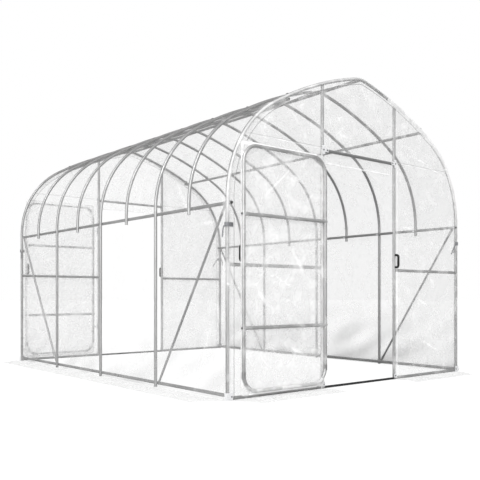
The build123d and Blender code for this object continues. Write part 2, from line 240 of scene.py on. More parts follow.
def straight_tube(start: tuple, end: tuple, radius: float) -> Patch:
    """Round tube from one point to another."""
    path = np.linspace(np.array(start, float), np.array(end, float), 9)
    along = unit(path[-1] - path[0])
    side = np.cross(along, (0, 0, 1)) if abs(along[2]) < 0.9 else (0, 1, 0)
    return tube_patch(path, tuple(side), radius)


def turned_patch(profile: np.ndarray, centres: np.ndarray, axes: np.ndarray, sides: int) -> Patch:
    """The same turned shape at many places.

    A profile of (radius, height) pairs turns about each place's axis: a point is the centre plus
    height times the axis plus radius times the unit circle that stands square to the axis.

    Args:
        profile: points by 2, radius then height.
        centres: places by 3.
        axes: places by 3.
        sides: points round the circle.

    Returns:
        The patch with every copy.
    """
    axes = unit(np.asarray(axes, float))
    helper = np.where(np.abs(axes[:, 2:3]) > 0.9, [[1.0, 0, 0]], [[0, 0, 1.0]])
    first = unit(np.cross(helper, axes))
    circle = circles(first, np.cross(axes, first), around(sides))
    rings = (
        np.asarray(centres, float)[:, None, None, :]
        + profile[None, :, 1, None, None] * axes[:, None, None, :]
        + profile[None, :, 0, None, None] * circle[:, None, :, :]
    )
    return Patch.joined([grid_patch(one, loop_columns=True) for one in rings])


def fold_noise(u: np.ndarray, v: np.ndarray, seed: int, size: float, waves: int = 14) -> np.ndarray:
    """Smooth seeded noise, mostly from -1 to 1, over two lengths in metres.

    It is a sum of sine waves whose directions, phases and lengths come from a seeded generator,
    the lengths spread evenly from half the size to twice the size.

    Args:
        u: first length.
        v: second length.
        seed: picks the pattern.
        size: middle wavelength in metres.
        waves: how many sine waves are added.

    Returns:
        The noise, shaped as u and v.
    """
    pick = np.random.default_rng(seed)
    turn = pick.uniform(0, TURN, waves)
    phase = pick.uniform(0, TURN, waves)
    length = size * 2 ** pick.uniform(-1, 1, waves)
    along = u[..., None] * np.cos(turn) + v[..., None] * np.sin(turn)
    return np.sin(TURN * along / length + phase).sum(-1) / math.sqrt(waves)


def crease(u: np.ndarray, v: np.ndarray, start: tuple, end: tuple, width: float) -> np.ndarray:
    """A straight crease over two lengths.

    It is a bell of the distance from the line, times a half sine of the place along it, so that it
    fades out at its ends.

    Args:
        u: first length.
        v: second length.
        start: one end of the crease.
        end: its other end.
        width: the bell's width in the middle of the crease.

    Returns:
        The crease's strength from 0 to 1.
    """
    run = math.dist(start, end)
    du, dv = (end[0] - start[0]) / run, (end[1] - start[1]) / run
    along = ((u - start[0]) * du + (v - start[1]) * dv) / run
    off = (u - start[0]) * dv - (v - start[1]) * du
    return np.exp(-((off / width) ** 2)) * np.sin(math.pi * np.clip(along, 0, 1))


def loose_creases(u: np.ndarray, v: np.ndarray, seed: int, count: int, long: float) -> np.ndarray:
    """Seeded creases strewn over a panel, most of them faint, as (u, v) strengths from 0 to 1."""
    pick = np.random.default_rng(seed)
    total = np.zeros(u.shape)
    for _ in range(count):
        start = (pick.uniform(u.min(), u.max()), pick.uniform(v.min(), v.max()))
        turn, length = pick.uniform(0, TURN), long * pick.uniform(0.3, 1)
        end = (start[0] + length * math.cos(turn), start[1] + length * math.sin(turn))
        strength, width = pick.uniform(0.1, 1) ** 2, pick.uniform(6, 20) * MM
        total = np.maximum(total, strength * crease(u, v, start, end, width))
    return total


def spaced(low: float, high: float, count: int, rims: tuple, extra: tuple = ()) -> np.ndarray:
    """Even places from low to high, with more at these distances from both ends and at extra places."""
    rims = np.array(rims)
    lines = np.concatenate([np.linspace(low, high, count), low + rims, high - rims, np.array(extra)])
    return np.unique(np.round(lines[(lines >= low) & (lines <= high)], 5))


@dataclass(frozen=True)
class ArchLine:
    """The hoop's centre line: leg, shoulder arc, roof arc, ridge bend and back down."""

    half_width: float = 1200 * MM
    ridge_height: float = 2152 * MM
    ridge_bend: float = 200 * MM
    ridge_slope: float = math.radians(13)
    roof_radius: float = 2880 * MM
    shoulder_slope: float = math.radians(30)

    @property
    def roof_centre(self) -> tuple[float, float]:
        """Centre of the right roof arc."""
        inward = self.ridge_bend - self.roof_radius
        x = inward * math.sin(self.ridge_slope)
        z = self.ridge_height - self.ridge_bend + inward * math.cos(self.ridge_slope)
        return x, z

    @property
    def shoulder(self) -> tuple[float, float, float]:
        """Centre x, centre z and radius of the right shoulder arc."""
        x, z = self.roof_centre
        end_x = x + self.roof_radius * math.sin(self.shoulder_slope)
        end_z = z + self.roof_radius * math.cos(self.shoulder_slope)
        radius = (self.half_width - end_x) / (1 - math.sin(self.shoulder_slope))
        centre_x = end_x - radius * math.sin(self.shoulder_slope)
        return centre_x, end_z - radius * math.cos(self.shoulder_slope), radius

    def half(self, count: int, bottom: float = 0.0) -> tuple[np.ndarray, np.ndarray]:
        """Evenly spaced points and outward normals of the right half, from the foot to the ridge.

        Args:
            count: number of points.
            bottom: height at which the leg starts.

        Returns:
            Points as (x, z) pairs, and normals as (x, z) pairs.
        """
        upright = math.pi / 2
        sx, sz, sr = self.shoulder
        legs = np.linspace(bottom, sz, 60, endpoint=False)
        wall = np.full(len(legs), self.half_width)
        shoulder = np.linspace(upright, self.shoulder_slope, 160, endpoint=False)
        roof = np.linspace(self.shoulder_slope, self.ridge_slope, 120, endpoint=False)
        cap = np.linspace(self.ridge_slope, 0, 40)
        arcs = (
            (sx, sz, sr, shoulder),
            (*self.roof_centre, self.roof_radius, roof),
            (0.0, self.ridge_height - self.ridge_bend, self.ridge_bend, cap),
        )
        tilt = np.concatenate([np.full(len(legs), upright), shoulder, roof, cap])
        x = np.concatenate([wall] + [cx + r * np.sin(t) for cx, _, r, t in arcs])
        z = np.concatenate([legs] + [cz + r * np.cos(t) for _, cz, r, t in arcs])
        run = run_along(np.stack([x, z], axis=1))
        even = np.linspace(0, run[-1], count)
        angle = np.interp(even, run, tilt)
        points = np.stack([np.interp(even, run, x), np.interp(even, run, z)], axis=1)
        return points, np.stack([np.sin(angle), np.cos(angle)], axis=1)

    def whole(self, count: int, bottom: float = 0.0) -> tuple[np.ndarray, np.ndarray]:
        """Points and normals of the whole arch, from the right foot over the ridge to the left foot."""
        points, normals = (np.vstack([right, right[::-1][1:] * [-1, 1]]) for right in self.half(count, bottom))
        return points, normals

    def height(self, x: np.ndarray, distance: float = 0.0) -> np.ndarray:
        """Height of the arch moved outwards by a distance, at places across the tunnel."""
        points, normals = self.half(400)
        moved = (points + normals * distance)[::-1]
        return np.interp(np.abs(x), moved[:, 0], moved[:, 1])


def linear(code: str) -> tuple[float, float, float, float]:
    """An sRGB hex colour as linear red, green, blue and a one."""
    share = np.array([int(code[i : i + 2], 16) for i in (1, 3, 5)]) / 255
    value = np.where(share <= 0.04045, share / 12.92, ((share + 0.055) / 1.055) ** 2.4)
    return (*value.tolist(), 1.0)


@dataclass
class Shading:
    """A material's or world's nodes, with a short method for each kind that several finishes need."""

    owner: bpy.types.Material | bpy.types.World

    def __post_init__(self) -> None:
        """Empties the owner's node tree."""
        self.owner.use_nodes = True
        self.tree = self.owner.node_tree
        self.tree.nodes.clear()

    @staticmethod
    def of(name: str) -> "Shading":
        """The empty nodes of a new material."""
        return Shading(bpy.data.materials.new(name))

    def add_node(self, kind: str, inputs: dict | None = None, **settings) -> bpy.types.Node:
        """Adds a node.

        Args:
            kind: the node's type name.
            inputs: input names or numbers, each with a constant or with the socket that feeds it.
            settings: the node's own attributes, such as its operation.

        Returns:
            The node.
        """
        node = self.tree.nodes.new(kind)
        for name, value in settings.items():
            setattr(node, name, value)
        for key, value in (inputs or {}).items():
            if isinstance(value, Socket):
                self.tree.links.new(value, node.inputs[key])
            else:
                node.inputs[key].default_value = value
        return node

    def place(self, size: float) -> Socket:
        """Object coordinates, counted in lengths of this size."""
        spot = self.add_node("ShaderNodeTexCoord").outputs["Object"]
        return self.add_node("ShaderNodeMapping", {"Vector": spot, "Scale": (1 / size,) * 3}).outputs["Vector"]

    def noise(self, place: Socket, detail: float, scale: float = 1.0) -> bpy.types.Node:
        """A noise texture, whose output 0 is its value."""
        return self.add_node("ShaderNodeTexNoise", {"Vector": place, "Scale": scale, "Detail": detail})

    def blend(self, share: Socket, low: str | Socket, high: str) -> Socket:
        """A colour from low, a hex code or a socket, to high, a hex code."""
        start = linear(low) if isinstance(low, str) else low
        mix = self.add_node("ShaderNodeMix", {0: share, 6: start, 7: linear(high)}, data_type="RGBA")
        return mix.outputs[2]

    def remap(self, value: Socket, target: tuple, source: tuple = (0.0, 1.0)) -> Socket:
        """A value moved from the source range to the target range and held inside it."""
        ends = {"From Min": source[0], "From Max": source[1], "To Min": target[0], "To Max": target[1]}
        return self.add_node("ShaderNodeMapRange", {"Value": value, **ends}).outputs[0]

    def calculate(self, operation: str, *values: Socket | float, clamp: bool = False) -> Socket:
        """The result of a maths node over sockets and numbers."""
        numbered = dict(enumerate(values))
        return self.add_node("ShaderNodeMath", numbered, operation=operation, use_clamp=clamp).outputs[0]

    def bump(self, height: Socket, strength: float, depth: float) -> Socket:
        """The normal of a bump."""
        inputs = {"Height": height, "Strength": strength, "Distance": depth}
        return self.add_node("ShaderNodeBump", inputs).outputs[0]

    def put_out(
        self, shader: bpy.types.Node, kind: str = "ShaderNodeOutputMaterial"
    ) -> bpy.types.Material | bpy.types.World:
        """Feeds a shader to the tree's output and gives the owner back."""
        self.add_node(kind, {"Surface": shader.outputs[0]})
        return self.owner

    def principled(self, inputs: dict) -> bpy.types.Material:
        """The material, fed from a principled shader with these inputs."""
        return self.put_out(self.add_node("ShaderNodeBsdfPrincipled", inputs))


@dataclass(frozen=True)
class GalvanisedSteel:
    """Hot-dip galvanised steel tube: a satin grey zinc skin with soft spangle and dull patches."""

    name: str = "galvanised steel"
    light: str = "#BCBCBC"
    dull: str = "#969696"
    roughness: float = 0.34
    metallic: float = 0.85
    spangle: float = 9 * MM
    patch: float = 140 * MM

    def build(self) -> bpy.types.Material:
        """The material: spangle cells over slow dull patches, with a faint pitted bump."""
        shade = Shading.of(self.name)
        voronoi = shade.add_node("ShaderNodeTexVoronoi", {"Vector": shade.place(self.spangle), "Scale": 1.0})
        cells = voronoi.outputs["Distance"]
        clouds = shade.noise(shade.place(self.patch), 4.0).outputs[0]
        both = shade.add_node("ShaderNodeMix", {0: 0.3, 2: clouds, 3: cells}, data_type="FLOAT")
        return shade.principled(
            {
                "Base Color": shade.blend(both.outputs[0], self.dull, self.light),
                "Metallic": self.metallic,
                "Roughness": shade.remap(clouds, (self.roughness - 0.08, self.roughness + 0.12)),
                "Normal": shade.bump(cells, 0.25, 0.15 * MM),
            }
        )


@dataclass(frozen=True)
class PlainFinish:
    """A hard finish with a fine grain: zinc-plated plate, black screws, the thresholds' near-black finish or
    moulded plastic.
    """

    name: str
    light: str
    dark: str
    roughness: float
    metallic: float = 0.0
    grain: float = 1.5 * MM
    depth: float = 0.05 * MM
    wear: float = 20.0

    def build(self) -> bpy.types.Material:
        """The material: a fine noise for the bump, and one that is slower by the wear for colour and gloss."""
        shade = Shading.of(self.name)
        grain = shade.noise(shade.place(self.grain), 3.0).outputs[0]
        worn = shade.noise(shade.place(self.grain * self.wear), 5.0).outputs[0]
        return shade.principled(
            {
                "Base Color": shade.blend(worn, self.dark, self.light),
                "Metallic": self.metallic,
                "Roughness": shade.remap(worn, (self.roughness - 0.07, self.roughness + 0.1)),
                "Normal": shade.bump(grain, 0.4, self.depth),
            }
        )


@dataclass(frozen=True)
class Webbing:
    """Woven polypropylene strap: dark grey yarn in a tight rib."""

    name: str = "woven webbing"
    light: str = "#8C8D90"
    dark: str = "#5C5D60"
    yarn: float = 1.6 * MM

    def build(self) -> bpy.types.Material:
        """The material: one wave at the yarn's spacing, drawn for colour and bump."""
        shade = Shading.of(self.name)
        inputs = {"Vector": shade.place(self.yarn), "Scale": 0.5, "Distortion": 0.6}
        ribs = shade.add_node("ShaderNodeTexWave", inputs, bands_direction="Z").outputs["Fac"]
        colour = shade.blend(ribs, self.dark, self.light)
        bump = shade.bump(ribs, 0.6, 0.3 * MM)
        return shade.principled({"Base Color": colour, "Roughness": 0.8, "Normal": bump})


@dataclass(frozen=True)
class ClearFilm:
    """Blown polyethylene film: mostly clear, with a milky haze that is stronger on creases, which are painted
    white as highlights.

    The piece's own "film" attribute says how many layers lie at a place, how white it is there
    and how grey. The white is the milk of hems and doubled film together with painted
    highlights on creases; the grey is cut edges, seams and greyer film low on the cover and
    the skirts, together with painted shadow lines and painted shade, so that hems look milky,
    creases white and edges and shaded places grey.
    """

    name: str
    haze: float
    tint: str
    crumple: float
    cloud: float
    roughness: float
    facet: float = 95 * MM
    depth: float = 3 * MM
    warp: float = 1.4
    edge_and_shade_grey: str = "#6A6A6A"
    mark_haze: float = 0.55

    def build(self) -> bpy.types.Material:
        """The material: haze and colour from the marks, a slow mottle and sharp crumple lines, painted white
        as highlights.
        """
        shade = Shading.of(self.name)
        place = shade.place(self.facet)
        mottle = shade.noise(place, 2.0)
        mixed = {0: mottle.outputs["Color"], 1: (self.warp,) * 3, 2: place}
        warped = shade.add_node("ShaderNodeVectorMath", mixed, operation="MULTIPLY_ADD").outputs[0]
        cells = {"Vector": warped, "Scale": 0.8}
        facets = shade.add_node("ShaderNodeTexVoronoi", cells, feature="DISTANCE_TO_EDGE").outputs["Distance"]
        line = shade.remap(facets, (1.0, 0.0), (0.0, 0.06))
        where = shade.remap(shade.noise(place, 2.0, 0.3).outputs[0], (0.0, self.crumple), (0.5, 0.68))
        cloud = shade.remap(mottle.outputs[0], (0.0, self.cloud), (0.46, 0.66))
        marks = shade.add_node("ShaderNodeAttribute", attribute_name="film").outputs["Color"]
        split = shade.add_node("ShaderNodeSeparateColor", {"Color": marks}).outputs
        layers, milk_and_highlight, edge = split["Red"], split["Green"], split["Blue"]
        # Painted highlight: the crumple lines and the creases in the white mark whiten and cloud the film
        # where wrinkles catch the light; the slow cloud and the hems' part of the mark are the film's own
        # milk.
        soft = shade.calculate("ADD", shade.calculate("MULTIPLY", line, where), cloud)
        white = shade.calculate("ADD", soft, milk_and_highlight, clamp=True)
        milky = shade.blend(white, self.tint, "#FFFFFF")
        hazed = shade.calculate("MULTIPLY", layers, self.haze)
        marked = shade.calculate("ADD", white, edge)
        return shade.principled(
            {
                # Grey from the edge mark: cut edges, the weld seam and greyer film low on the cover and the
                # skirts, with painted shadow lines at hems and tube edges and painted shade on the back right
                # panel.
                "Base Color": shade.blend(edge, milky, self.edge_and_shade_grey),
                "Roughness": self.roughness,
                "IOR": 1.5,
                "Alpha": shade.calculate("MULTIPLY_ADD", marked, self.mark_haze, hazed, clamp=True),
                "Normal": shade.bump(mottle.outputs[0], 0.3, self.depth),
            }
        )


@dataclass(frozen=True)
class Coat:
    """A built finish and the record's slot that it belongs to."""

    material: bpy.types.Material
    slot: Slot


@dataclass(frozen=True)
class Finishes:
    """Every finish of the tunnel."""

    tube: Coat
    zinc: Coat
    threshold_black: Coat
    plastic: Coat
    screw: Coat
    webbing: Coat
    cover: Coat
    sheer: Coat
    gable: Coat
    door: Coat


def build_finishes() -> Finishes:
    """Builds each finish once; the film's numbers are haze, tint, crumple, cloud and roughness."""
    recipes = {
        "tube": (GalvanisedSteel(), Slot.TUBE),
        "zinc": (PlainFinish("zinc_plated_steel", "#F2F2F3", "#DADBDD", 0.4, 0.3, 2 * MM), Slot.ZINC),
        "threshold_black": (PlainFinish("near_black_threshold", "#2B2B2D", "#1B1B1D", 0.6, grain=0.8 * MM), Slot.DARK),
        "plastic": (
            PlainFinish("moulded_black_polypropylene", "#0C0C0D", "#050505", 0.6, 0.0, 1.2 * MM, 0.08 * MM),
            Slot.PLASTIC,
        ),
        "screw": (PlainFinish("blackened_screw_steel", "#565656", "#3E3E3E", 0.5, 0.4, 0.6 * MM), Slot.DARK),
        "webbing": (Webbing(), Slot.WEBBING),
        # The cover's two halves are one film tinted apart: the right half's darker tint is painted shade and
        # the left half's lighter tint painted light.
        "cover": (ClearFilm("clear_polyethylene_cover", 0.26, "#C8C8C8", 0.2, 0.16, 0.3), Slot.FILM),
        "sheer": (ClearFilm("clear_polyethylene_taut_side", 0.11, "#DCDCDC", 0.1, 0.12, 0.3), Slot.FILM),
        "gable": (ClearFilm("hazed_polyethylene_gable_film", 0.22, "#CCCCCC", 0.3, 0.36, 0.4), Slot.FILM),
        "door": (ClearFilm("hazed_polyethylene_door_film", 0.26, "#E0E0E0", 0.3, 0.36, 0.4), Slot.FILM),
    }
    return Finishes(**{name: Coat(recipe.build(), slot) for name, (recipe, slot) in recipes.items()})


BOLT_HEAD = np.array([[0, 0], [7, 0], [7, 1.2], [5.4, 1.2], [5.4, 4.4], [4.4, 5.2], [0, 5.2]]) * MM
PAN_HEAD = np.array([[0, 0], [5.5, 0], [5.2, 1.6], [3.6, 3.0], [0, 3.4]]) * MM
END_CAP = np.array([[0, -4], [9, -4], [9, 2], [7.5, 3.6], [0, 4.2]]) * MM
ROOF_HEAD = np.array([[0, 0], [8, 0], [7.6, 1.8], [5, 3.4], [0, 4]]) * MM
SCREW_BOSS = np.array([[0, 0], [8, 0], [8, 2.2], [7, 3], [0, 3]]) * MM


def make_piece(
    name: str, patch: Patch, coat: Coat, body: Body = Body.FRAME, nodes: tuple[str, ...] = ()
) -> bpy.types.Object:
    """Turns a patch into a dressed piece that rides on a body.

    Args:
        name: the piece's name.
        patch: its points and quads.
        coat: its finish.
        body: the body that it moves with.
        nodes: CAD nodes that it replaces.

    Returns:
        The piece.
    """
    mesh = bpy.data.meshes.new(name)
    mesh.vertices.add(len(patch.points))
    mesh.vertices.foreach_set("co", patch.points.astype(np.float32).ravel())
    mesh.loops.add(patch.quads.size)
    mesh.loops.foreach_set("vertex_index", patch.quads.astype(np.int32).ravel())
    mesh.polygons.add(len(patch.quads))
    mesh.polygons.foreach_set("loop_start", np.arange(0, patch.quads.size, 4, dtype=np.int32))
    mesh.polygons.foreach_set("use_smooth", np.ones(len(patch.quads), bool))
    mesh.update(calc_edges=True)
    mesh.validate()
    mesh.materials.append(coat.material)
    if patch.marks is not None:
        colours = np.concatenate([patch.marks, np.ones((len(patch.marks), 1))], axis=1)
        mesh.attributes.new("film", "FLOAT_COLOR", "POINT").data.foreach_set("color", colours.ravel())
    piece = bpy.data.objects.new(name, mesh)
    bpy.context.scene.collection.objects.link(piece)
    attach(piece, body.value)
    if nodes:
        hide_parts(*nodes)
    log.info("%s: %d quads", name, len(patch.quads))
    return piece


def weld(piece: bpy.types.Object, sharp: float = 35.0) -> None:
    """Merges the piece's coincident points, closes its poles and keeps edges past this angle sharp."""
    work = bmesh.new()
    work.from_mesh(piece.data)
    bmesh.ops.remove_doubles(work, verts=work.verts, dist=1e-6)
    bmesh.ops.recalc_face_normals(work, faces=work.faces)
    limit = math.radians(sharp)
    for edge in work.edges:
        edge.smooth = len(edge.link_faces) == 2 and edge.calc_face_angle(0.0) < limit
    work.to_mesh(piece.data)
    work.free()


@dataclass
class TubeFrame:
    """The standing frame of round galvanised tube."""

    line: ArchLine
    radius: float = 11 * MM
    bar_radius: float = 8 * MM
    length: float = 3156 * MM
    bays: int = 4
    bow_tail: float = 40 * MM
    rail_drop: float = 27 * MM
    mid_rail: float = 810 * MM
    purlin: float = 705 * MM
    header: float = 1601 * MM
    post: float = 386 * MM
    ring_points: int = 90

    @property
    def hoop_places(self) -> np.ndarray:
        """Places of the full hoops along the tunnel."""
        return np.linspace(-self.length / 2, self.length / 2, self.bays + 1)

    @property
    def bow_places(self) -> np.ndarray:
        """Places of the short roof bows along the tunnel."""
        return (self.hoop_places[1:] + self.hoop_places[:-1]) / 2

    @property
    def arch_places(self) -> np.ndarray:
        """Places of all hoops and bows along the tunnel."""
        return np.sort(np.concatenate([self.hoop_places, self.bow_places]))

    @property
    def side_rail(self) -> float:
        """Height of the side rails."""
        return self.line.shoulder[1] - self.rail_drop

    @property
    def face(self) -> float:
        """Distance of the tubes' outer face on a gable from the tunnel's middle."""
        return self.length / 2 + self.radius

    def arch(self, y: float, bottom: float = 0.0) -> Patch:
        """One bent hoop or bow."""
        flat, _ = self.line.whole(self.ring_points, bottom)
        path = np.stack([flat[:, 0], np.full(len(flat), y), flat[:, 1]], axis=1)
        return tube_patch(path, (0, 1, 0), self.radius)

    def lengthways(self, node: str) -> Patch:
        """Round tubes down the middle of the two CAD rails of a node, which run along the tunnel."""
        low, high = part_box(node)
        reach = self.purlin if node == "mid_purlins" else high.x - self.radius
        z = (low.z + high.z) / 2
        sides = (reach, -reach)
        return Patch.joined([straight_tube((x, low.y, z), (x, high.y, z), self.radius) for x in sides])

    def ridge(self) -> Patch:
        """The ridge tubes between the arches."""
        low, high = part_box("ridge_purlin")
        z, gap, stops = (low.z + high.z) / 2, self.radius * 0.9, self.arch_places
        spans = zip(stops[:-1], stops[1:])
        return Patch.joined([straight_tube((0, a + gap, z), (0, b - gap, z), self.radius) for a, b in spans])

    def brace(self) -> Patch:
        """One brace, round in its run and pressed flat at its ends, then mirrored to all corners.

        The section's two half-widths go from the tube's radius to a flat tab over a smooth step of
        the distance to the nearer end.
        """
        low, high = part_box("corner_braces")
        tab, press, thin, wide, round_radius = 45 * MM, 34 * MM, 2 * MM, 11 * MM, 8 * MM
        middle = (self.line.half_width - self.radius) + thin
        start = np.array([middle, low.y + wide, high.z - wide])
        end = np.array([middle, self.hoop_places[1] - self.radius - wide - 1 * MM, low.z + wide])
        along = unit(end - start)
        start, end = start - along * wide, end + along * wide
        run = np.linalg.norm(end - start)
        share = np.linspace(0, 1, 18) ** 1.5 * 100 * MM
        t = np.concatenate([share, run - share[::-1]])
        near = np.minimum(t, run - t)
        step = np.clip((near - wide - tab) / press, 0, 1)
        step = step * step * (3 - 2 * step)
        tip = np.sqrt(np.clip(1 - (1 - np.clip(near / wide, 0, 1)) ** 2, 0, 1))
        depth = (thin + (round_radius - thin) * step) * np.where(near < 1e-6, 0, 1)
        width = (wide + (round_radius - wide) * step) * tip
        inward, across = np.array([1.0, 0, 0]), np.cross((1, 0, 0), along)
        ring = circles(depth[:, None] * inward, width[:, None] * across, around(16))
        return grid_patch((start + t[:, None] * along)[:, None, :] + ring, loop_columns=True).mirrored(0, 1)

    def gable_bars(self) -> dict[str, Patch]:
        """Posts, headers, mid rails, base rails and thresholds of the front gable, mirrored to the back."""
        y, r, post, low = -self.length / 2, self.radius, self.post, self.bar_radius
        top = float(self.line.height(np.array([post]))) - 0.3 * r
        wide, waist = self.line.half_width, self.mid_rail
        found = {
            "door_posts": straight_tube((post, y, 0), (post, y, top), r).mirrored(0),
            "door_headers": straight_tube((-post, y, self.header), (post, y, self.header), r),
            "gable_mid_rails": straight_tube((post, y, waist), (wide, y, waist), r).mirrored(0),
            "gable_base_rails": straight_tube((post, y, r), (wide, y, r), r).mirrored(0),
            "thresholds": straight_tube((-post, y, low), (post, y, low), low),
        }
        return {name: patch.mirrored(1) for name, patch in found.items()}

    def build(self, finishes: Finishes) -> None:
        """Makes every tube of the frame in place of its eight-sided CAD bar."""
        places = self.hoop_places
        rail = self.side_rail - self.bow_tail
        made = {
            "front_hoop": self.arch(places[0]),
            "back_hoop": self.arch(places[-1]),
            "inner_hoops": Patch.joined([self.arch(y) for y in places[1:-1]]),
            "roof_bows": Patch.joined([self.arch(y, rail) for y in self.bow_places]),
            "ridge_purlin": self.ridge(),
            **{node: self.lengthways(node) for node in ("mid_purlins", "side_rails", "base_rails")},
            "corner_braces": self.brace(),
            **self.gable_bars(),
        }
        for name, patch in made.items():
            # The thresholds get the near-black finish, every other tube galvanised steel.
            coat = finishes.threshold_black if name == "thresholds" else finishes.tube
            weld(make_piece(f"{name}_tube", patch, coat, nodes=(name,)))


@dataclass
class Cover:
    """The film over the long sides and the roof, turned round the end hoops onto the gables."""

    frame: TubeFrame
    lift: float = 0.6 * MM
    sag: float = 4 * MM
    ripple: float = 1.2 * MM
    rows: int = 170
    columns: int = 260
    girth: float = 2.6
    hazy_height: float = 0.55
    lead: float = 30 * MM
    pucker_pitch: float = 0.115
    pucker_depth: float = 2.0 * MM
    hem_lift: float = 1.6 * MM
    band_length: float = 5.2
    # Height where the band's white, a painted highlight, starts to grow and the rise over which it does; then
    # the distance from the middle where the right arch's white fill starts.
    highlight_from: float = 1.0
    highlight_rise: float = 0.3
    right_from: float = 0.3
    # Round the turn the marks are (layers, white, grey); in over the gable they are (millimetres in, layers,
    # white, grey).
    turn_marks: tuple = ((0.2, 0, 0), (0.3, 0.1, 0.1), (0.6, 0.5, 0), (1, 1, 0), (1, 1, 0), (1, 0.8, 0))
    inner_marks: tuple = ((5, 1, 0.3, 0.1), (8, 0.3, 0, 0.4), (12, 0.2, 0, 0.2), (24, 0.2, 0, 0))
    hem_marks: tuple = (
        (34, 0.2, 0.5, 0), (35, 1, 0.5, 0), (37.5, 1, 0, 0), (38, 1, 0, 0.9), (41.5, 1, 0, 0.9)
    )

    def sheet(self, side: Side) -> Patch:
        """Half of the cover.

        A point is the arch's centre line at a length along it plus its normal times an offset, at a
        place along the tunnel. The offset is the tube's radius, less a sag that is a squared sine
        between neighbouring arches, deepened there by seeded ripples.
        """
        line, r = self.frame.line, self.frame.radius + self.lift
        points, normals = line.half(self.rows, 3 * MM)
        end = self.frame.length / 2
        y = np.linspace(-end, end, self.columns)
        pitch = self.frame.length / self.frame.bays / 2
        between = np.sin(math.pi * (y + end) / pitch) ** 2
        run, place = np.meshgrid(np.linspace(0, self.girth, self.rows), y, indexing="ij")
        seed = Seed.COVER_RIGHT if side is Side.HIGH else Seed.COVER_LEFT
        long_wave = fold_noise(run * 0.5, place * 1.6, seed, 0.34)
        wave = long_wave + fold_noise(run * 2.2, place * 0.7, seed + 10, 0.5)
        offset = r - between[None, :] * (self.sag + self.ripple * (1.5 + wave))
        grid = np.empty((self.rows, self.columns, 3))
        grid[..., 0] = side.value * (points[:, None, 0] + offset * normals[:, None, 0])
        grid[..., 1] = y[None, :]
        grid[..., 2] = np.maximum(points[:, None, 1] + offset * normals[:, None, 1], 2 * MM)
        # Painted highlight: faint white along seeded folds, where wrinkles catch the light.
        folds = loose_creases(run, place, seed + 30, 40, 0.5) * 0.4
        # Towards the bottom the film has more layers and a grey mark, in drifting patches.
        drift = fold_noise(run * 1.6 + place * 0.7, place * 0.5, seed + 50, 0.45)
        low = np.clip(1 - run / self.hazy_height, 0, 1) * np.clip(0.55 + 0.4 * drift, 0, 1)
        return film_patch(grid, 1 + 0.8 * low, folds, 0.5 * low)

    def band(self) -> Patch:
        """The cover's edge round one end hoop and onto the gable, mirrored to both gables.

        Across the band the film follows a quarter circle round the tube and then runs in over the
        gable to a hem; its free edge is puckered by a seeded wave along the arch. The marks are
        (layers, white, grey) round the turn, then with the millimetres in over the gable before
        them. The white round the turn is a painted highlight of the tube seen through the film and
        the grey a few millimetres in is the tube's painted shaded edge; at the hem the white is
        the hem's fold and the grey at the free edge is the cut edge with a painted shadow. All of
        the white is painted stronger higher up the arch, and the part between tube and hem is white
        on the right arch alone, doubled film with a painted highlight.
        """
        line, r = self.frame.line, self.frame.radius + self.lift + 0.3 * MM
        points, normals = line.whole(220, 3 * MM)
        run = run_along(points)
        turned, inner = len(self.turn_marks), len(self.inner_marks)
        over = np.array(self.inner_marks + self.hem_marks, float)
        flat = over[:, 0] * MM
        angle = np.linspace(0, math.pi / 2, turned)
        offset = np.concatenate([[r], r * np.cos(angle), -flat])
        away = np.concatenate([[-self.lead], r * np.sin(angle), np.full(len(flat), r)])
        ease = np.concatenate([np.zeros(turned + 1), flat / flat[-1]])
        sway = 2.5 * fold_noise(run, 0 * run, Seed.BAND, 0.6)
        pucker = 0.5 + 0.5 * np.sin(TURN * run / self.pucker_pitch + sway)
        lift = self.hem_lift + pucker[:, None] * ease[None, :] * self.pucker_depth
        spread = np.concatenate([np.zeros(2), np.linspace(0.2, 1, turned - 1), np.ones(len(flat))])
        grid = np.empty((len(points), len(offset), 3))
        grid[..., 0] = points[:, None, 0] + offset[None, :] * normals[:, None, 0]
        grid[..., 1] = -(self.frame.length / 2 + away[None, :] + lift * spread[None, :])
        grid[..., 2] = np.maximum(points[:, None, 1] + offset[None, :] * normals[:, None, 1], 3 * MM)
        layers, white, edge = np.vstack([[0.2, 0, 0], self.turn_marks, over[:, 1:]]).T
        # Painted highlight: the band's white grows with height and is stronger on the right arch, where the
        # part between tube and hem is filled white and loses its grey.
        arch = np.clip((points[:, 1] - self.highlight_from) / self.highlight_rise, 0, 1)[:, None]
        right = (points[:, :1] > self.right_from) * np.ones(len(offset))
        column = np.arange(len(offset)) - (turned + 1)
        filled = ((column >= 0) & (column < inner)) * right
        white = np.maximum(white, filled) * (0.15 + (0.5 + 0.25 * right) * arch)
        return film_patch(grid, layers, white, edge * np.where(filled > 0, 0, 1)).mirrored(1)

    def build(self, finishes: Finishes) -> None:
        """Makes both halves and the edge band."""
        length = self.frame.length
        for side, word, finish in ((Side.HIGH, "right", finishes.cover), (Side.LOW, "left", finishes.sheer)):
            patch = self.sheet(side)
            nodes = tuple(f"{word}_{part}_film" for part in ("wall", "shoulder", "roof"))
            piece = make_piece(f"{word}_cover", patch, finish, nodes=nodes)
            patch.flat_size(length)
        patch = self.band()
        piece = make_piece("cover_edge_bands", patch, finishes.gable, nodes=("cover_returns",))
        width = round(patch.area() / self.band_length / 2, 3) * 2


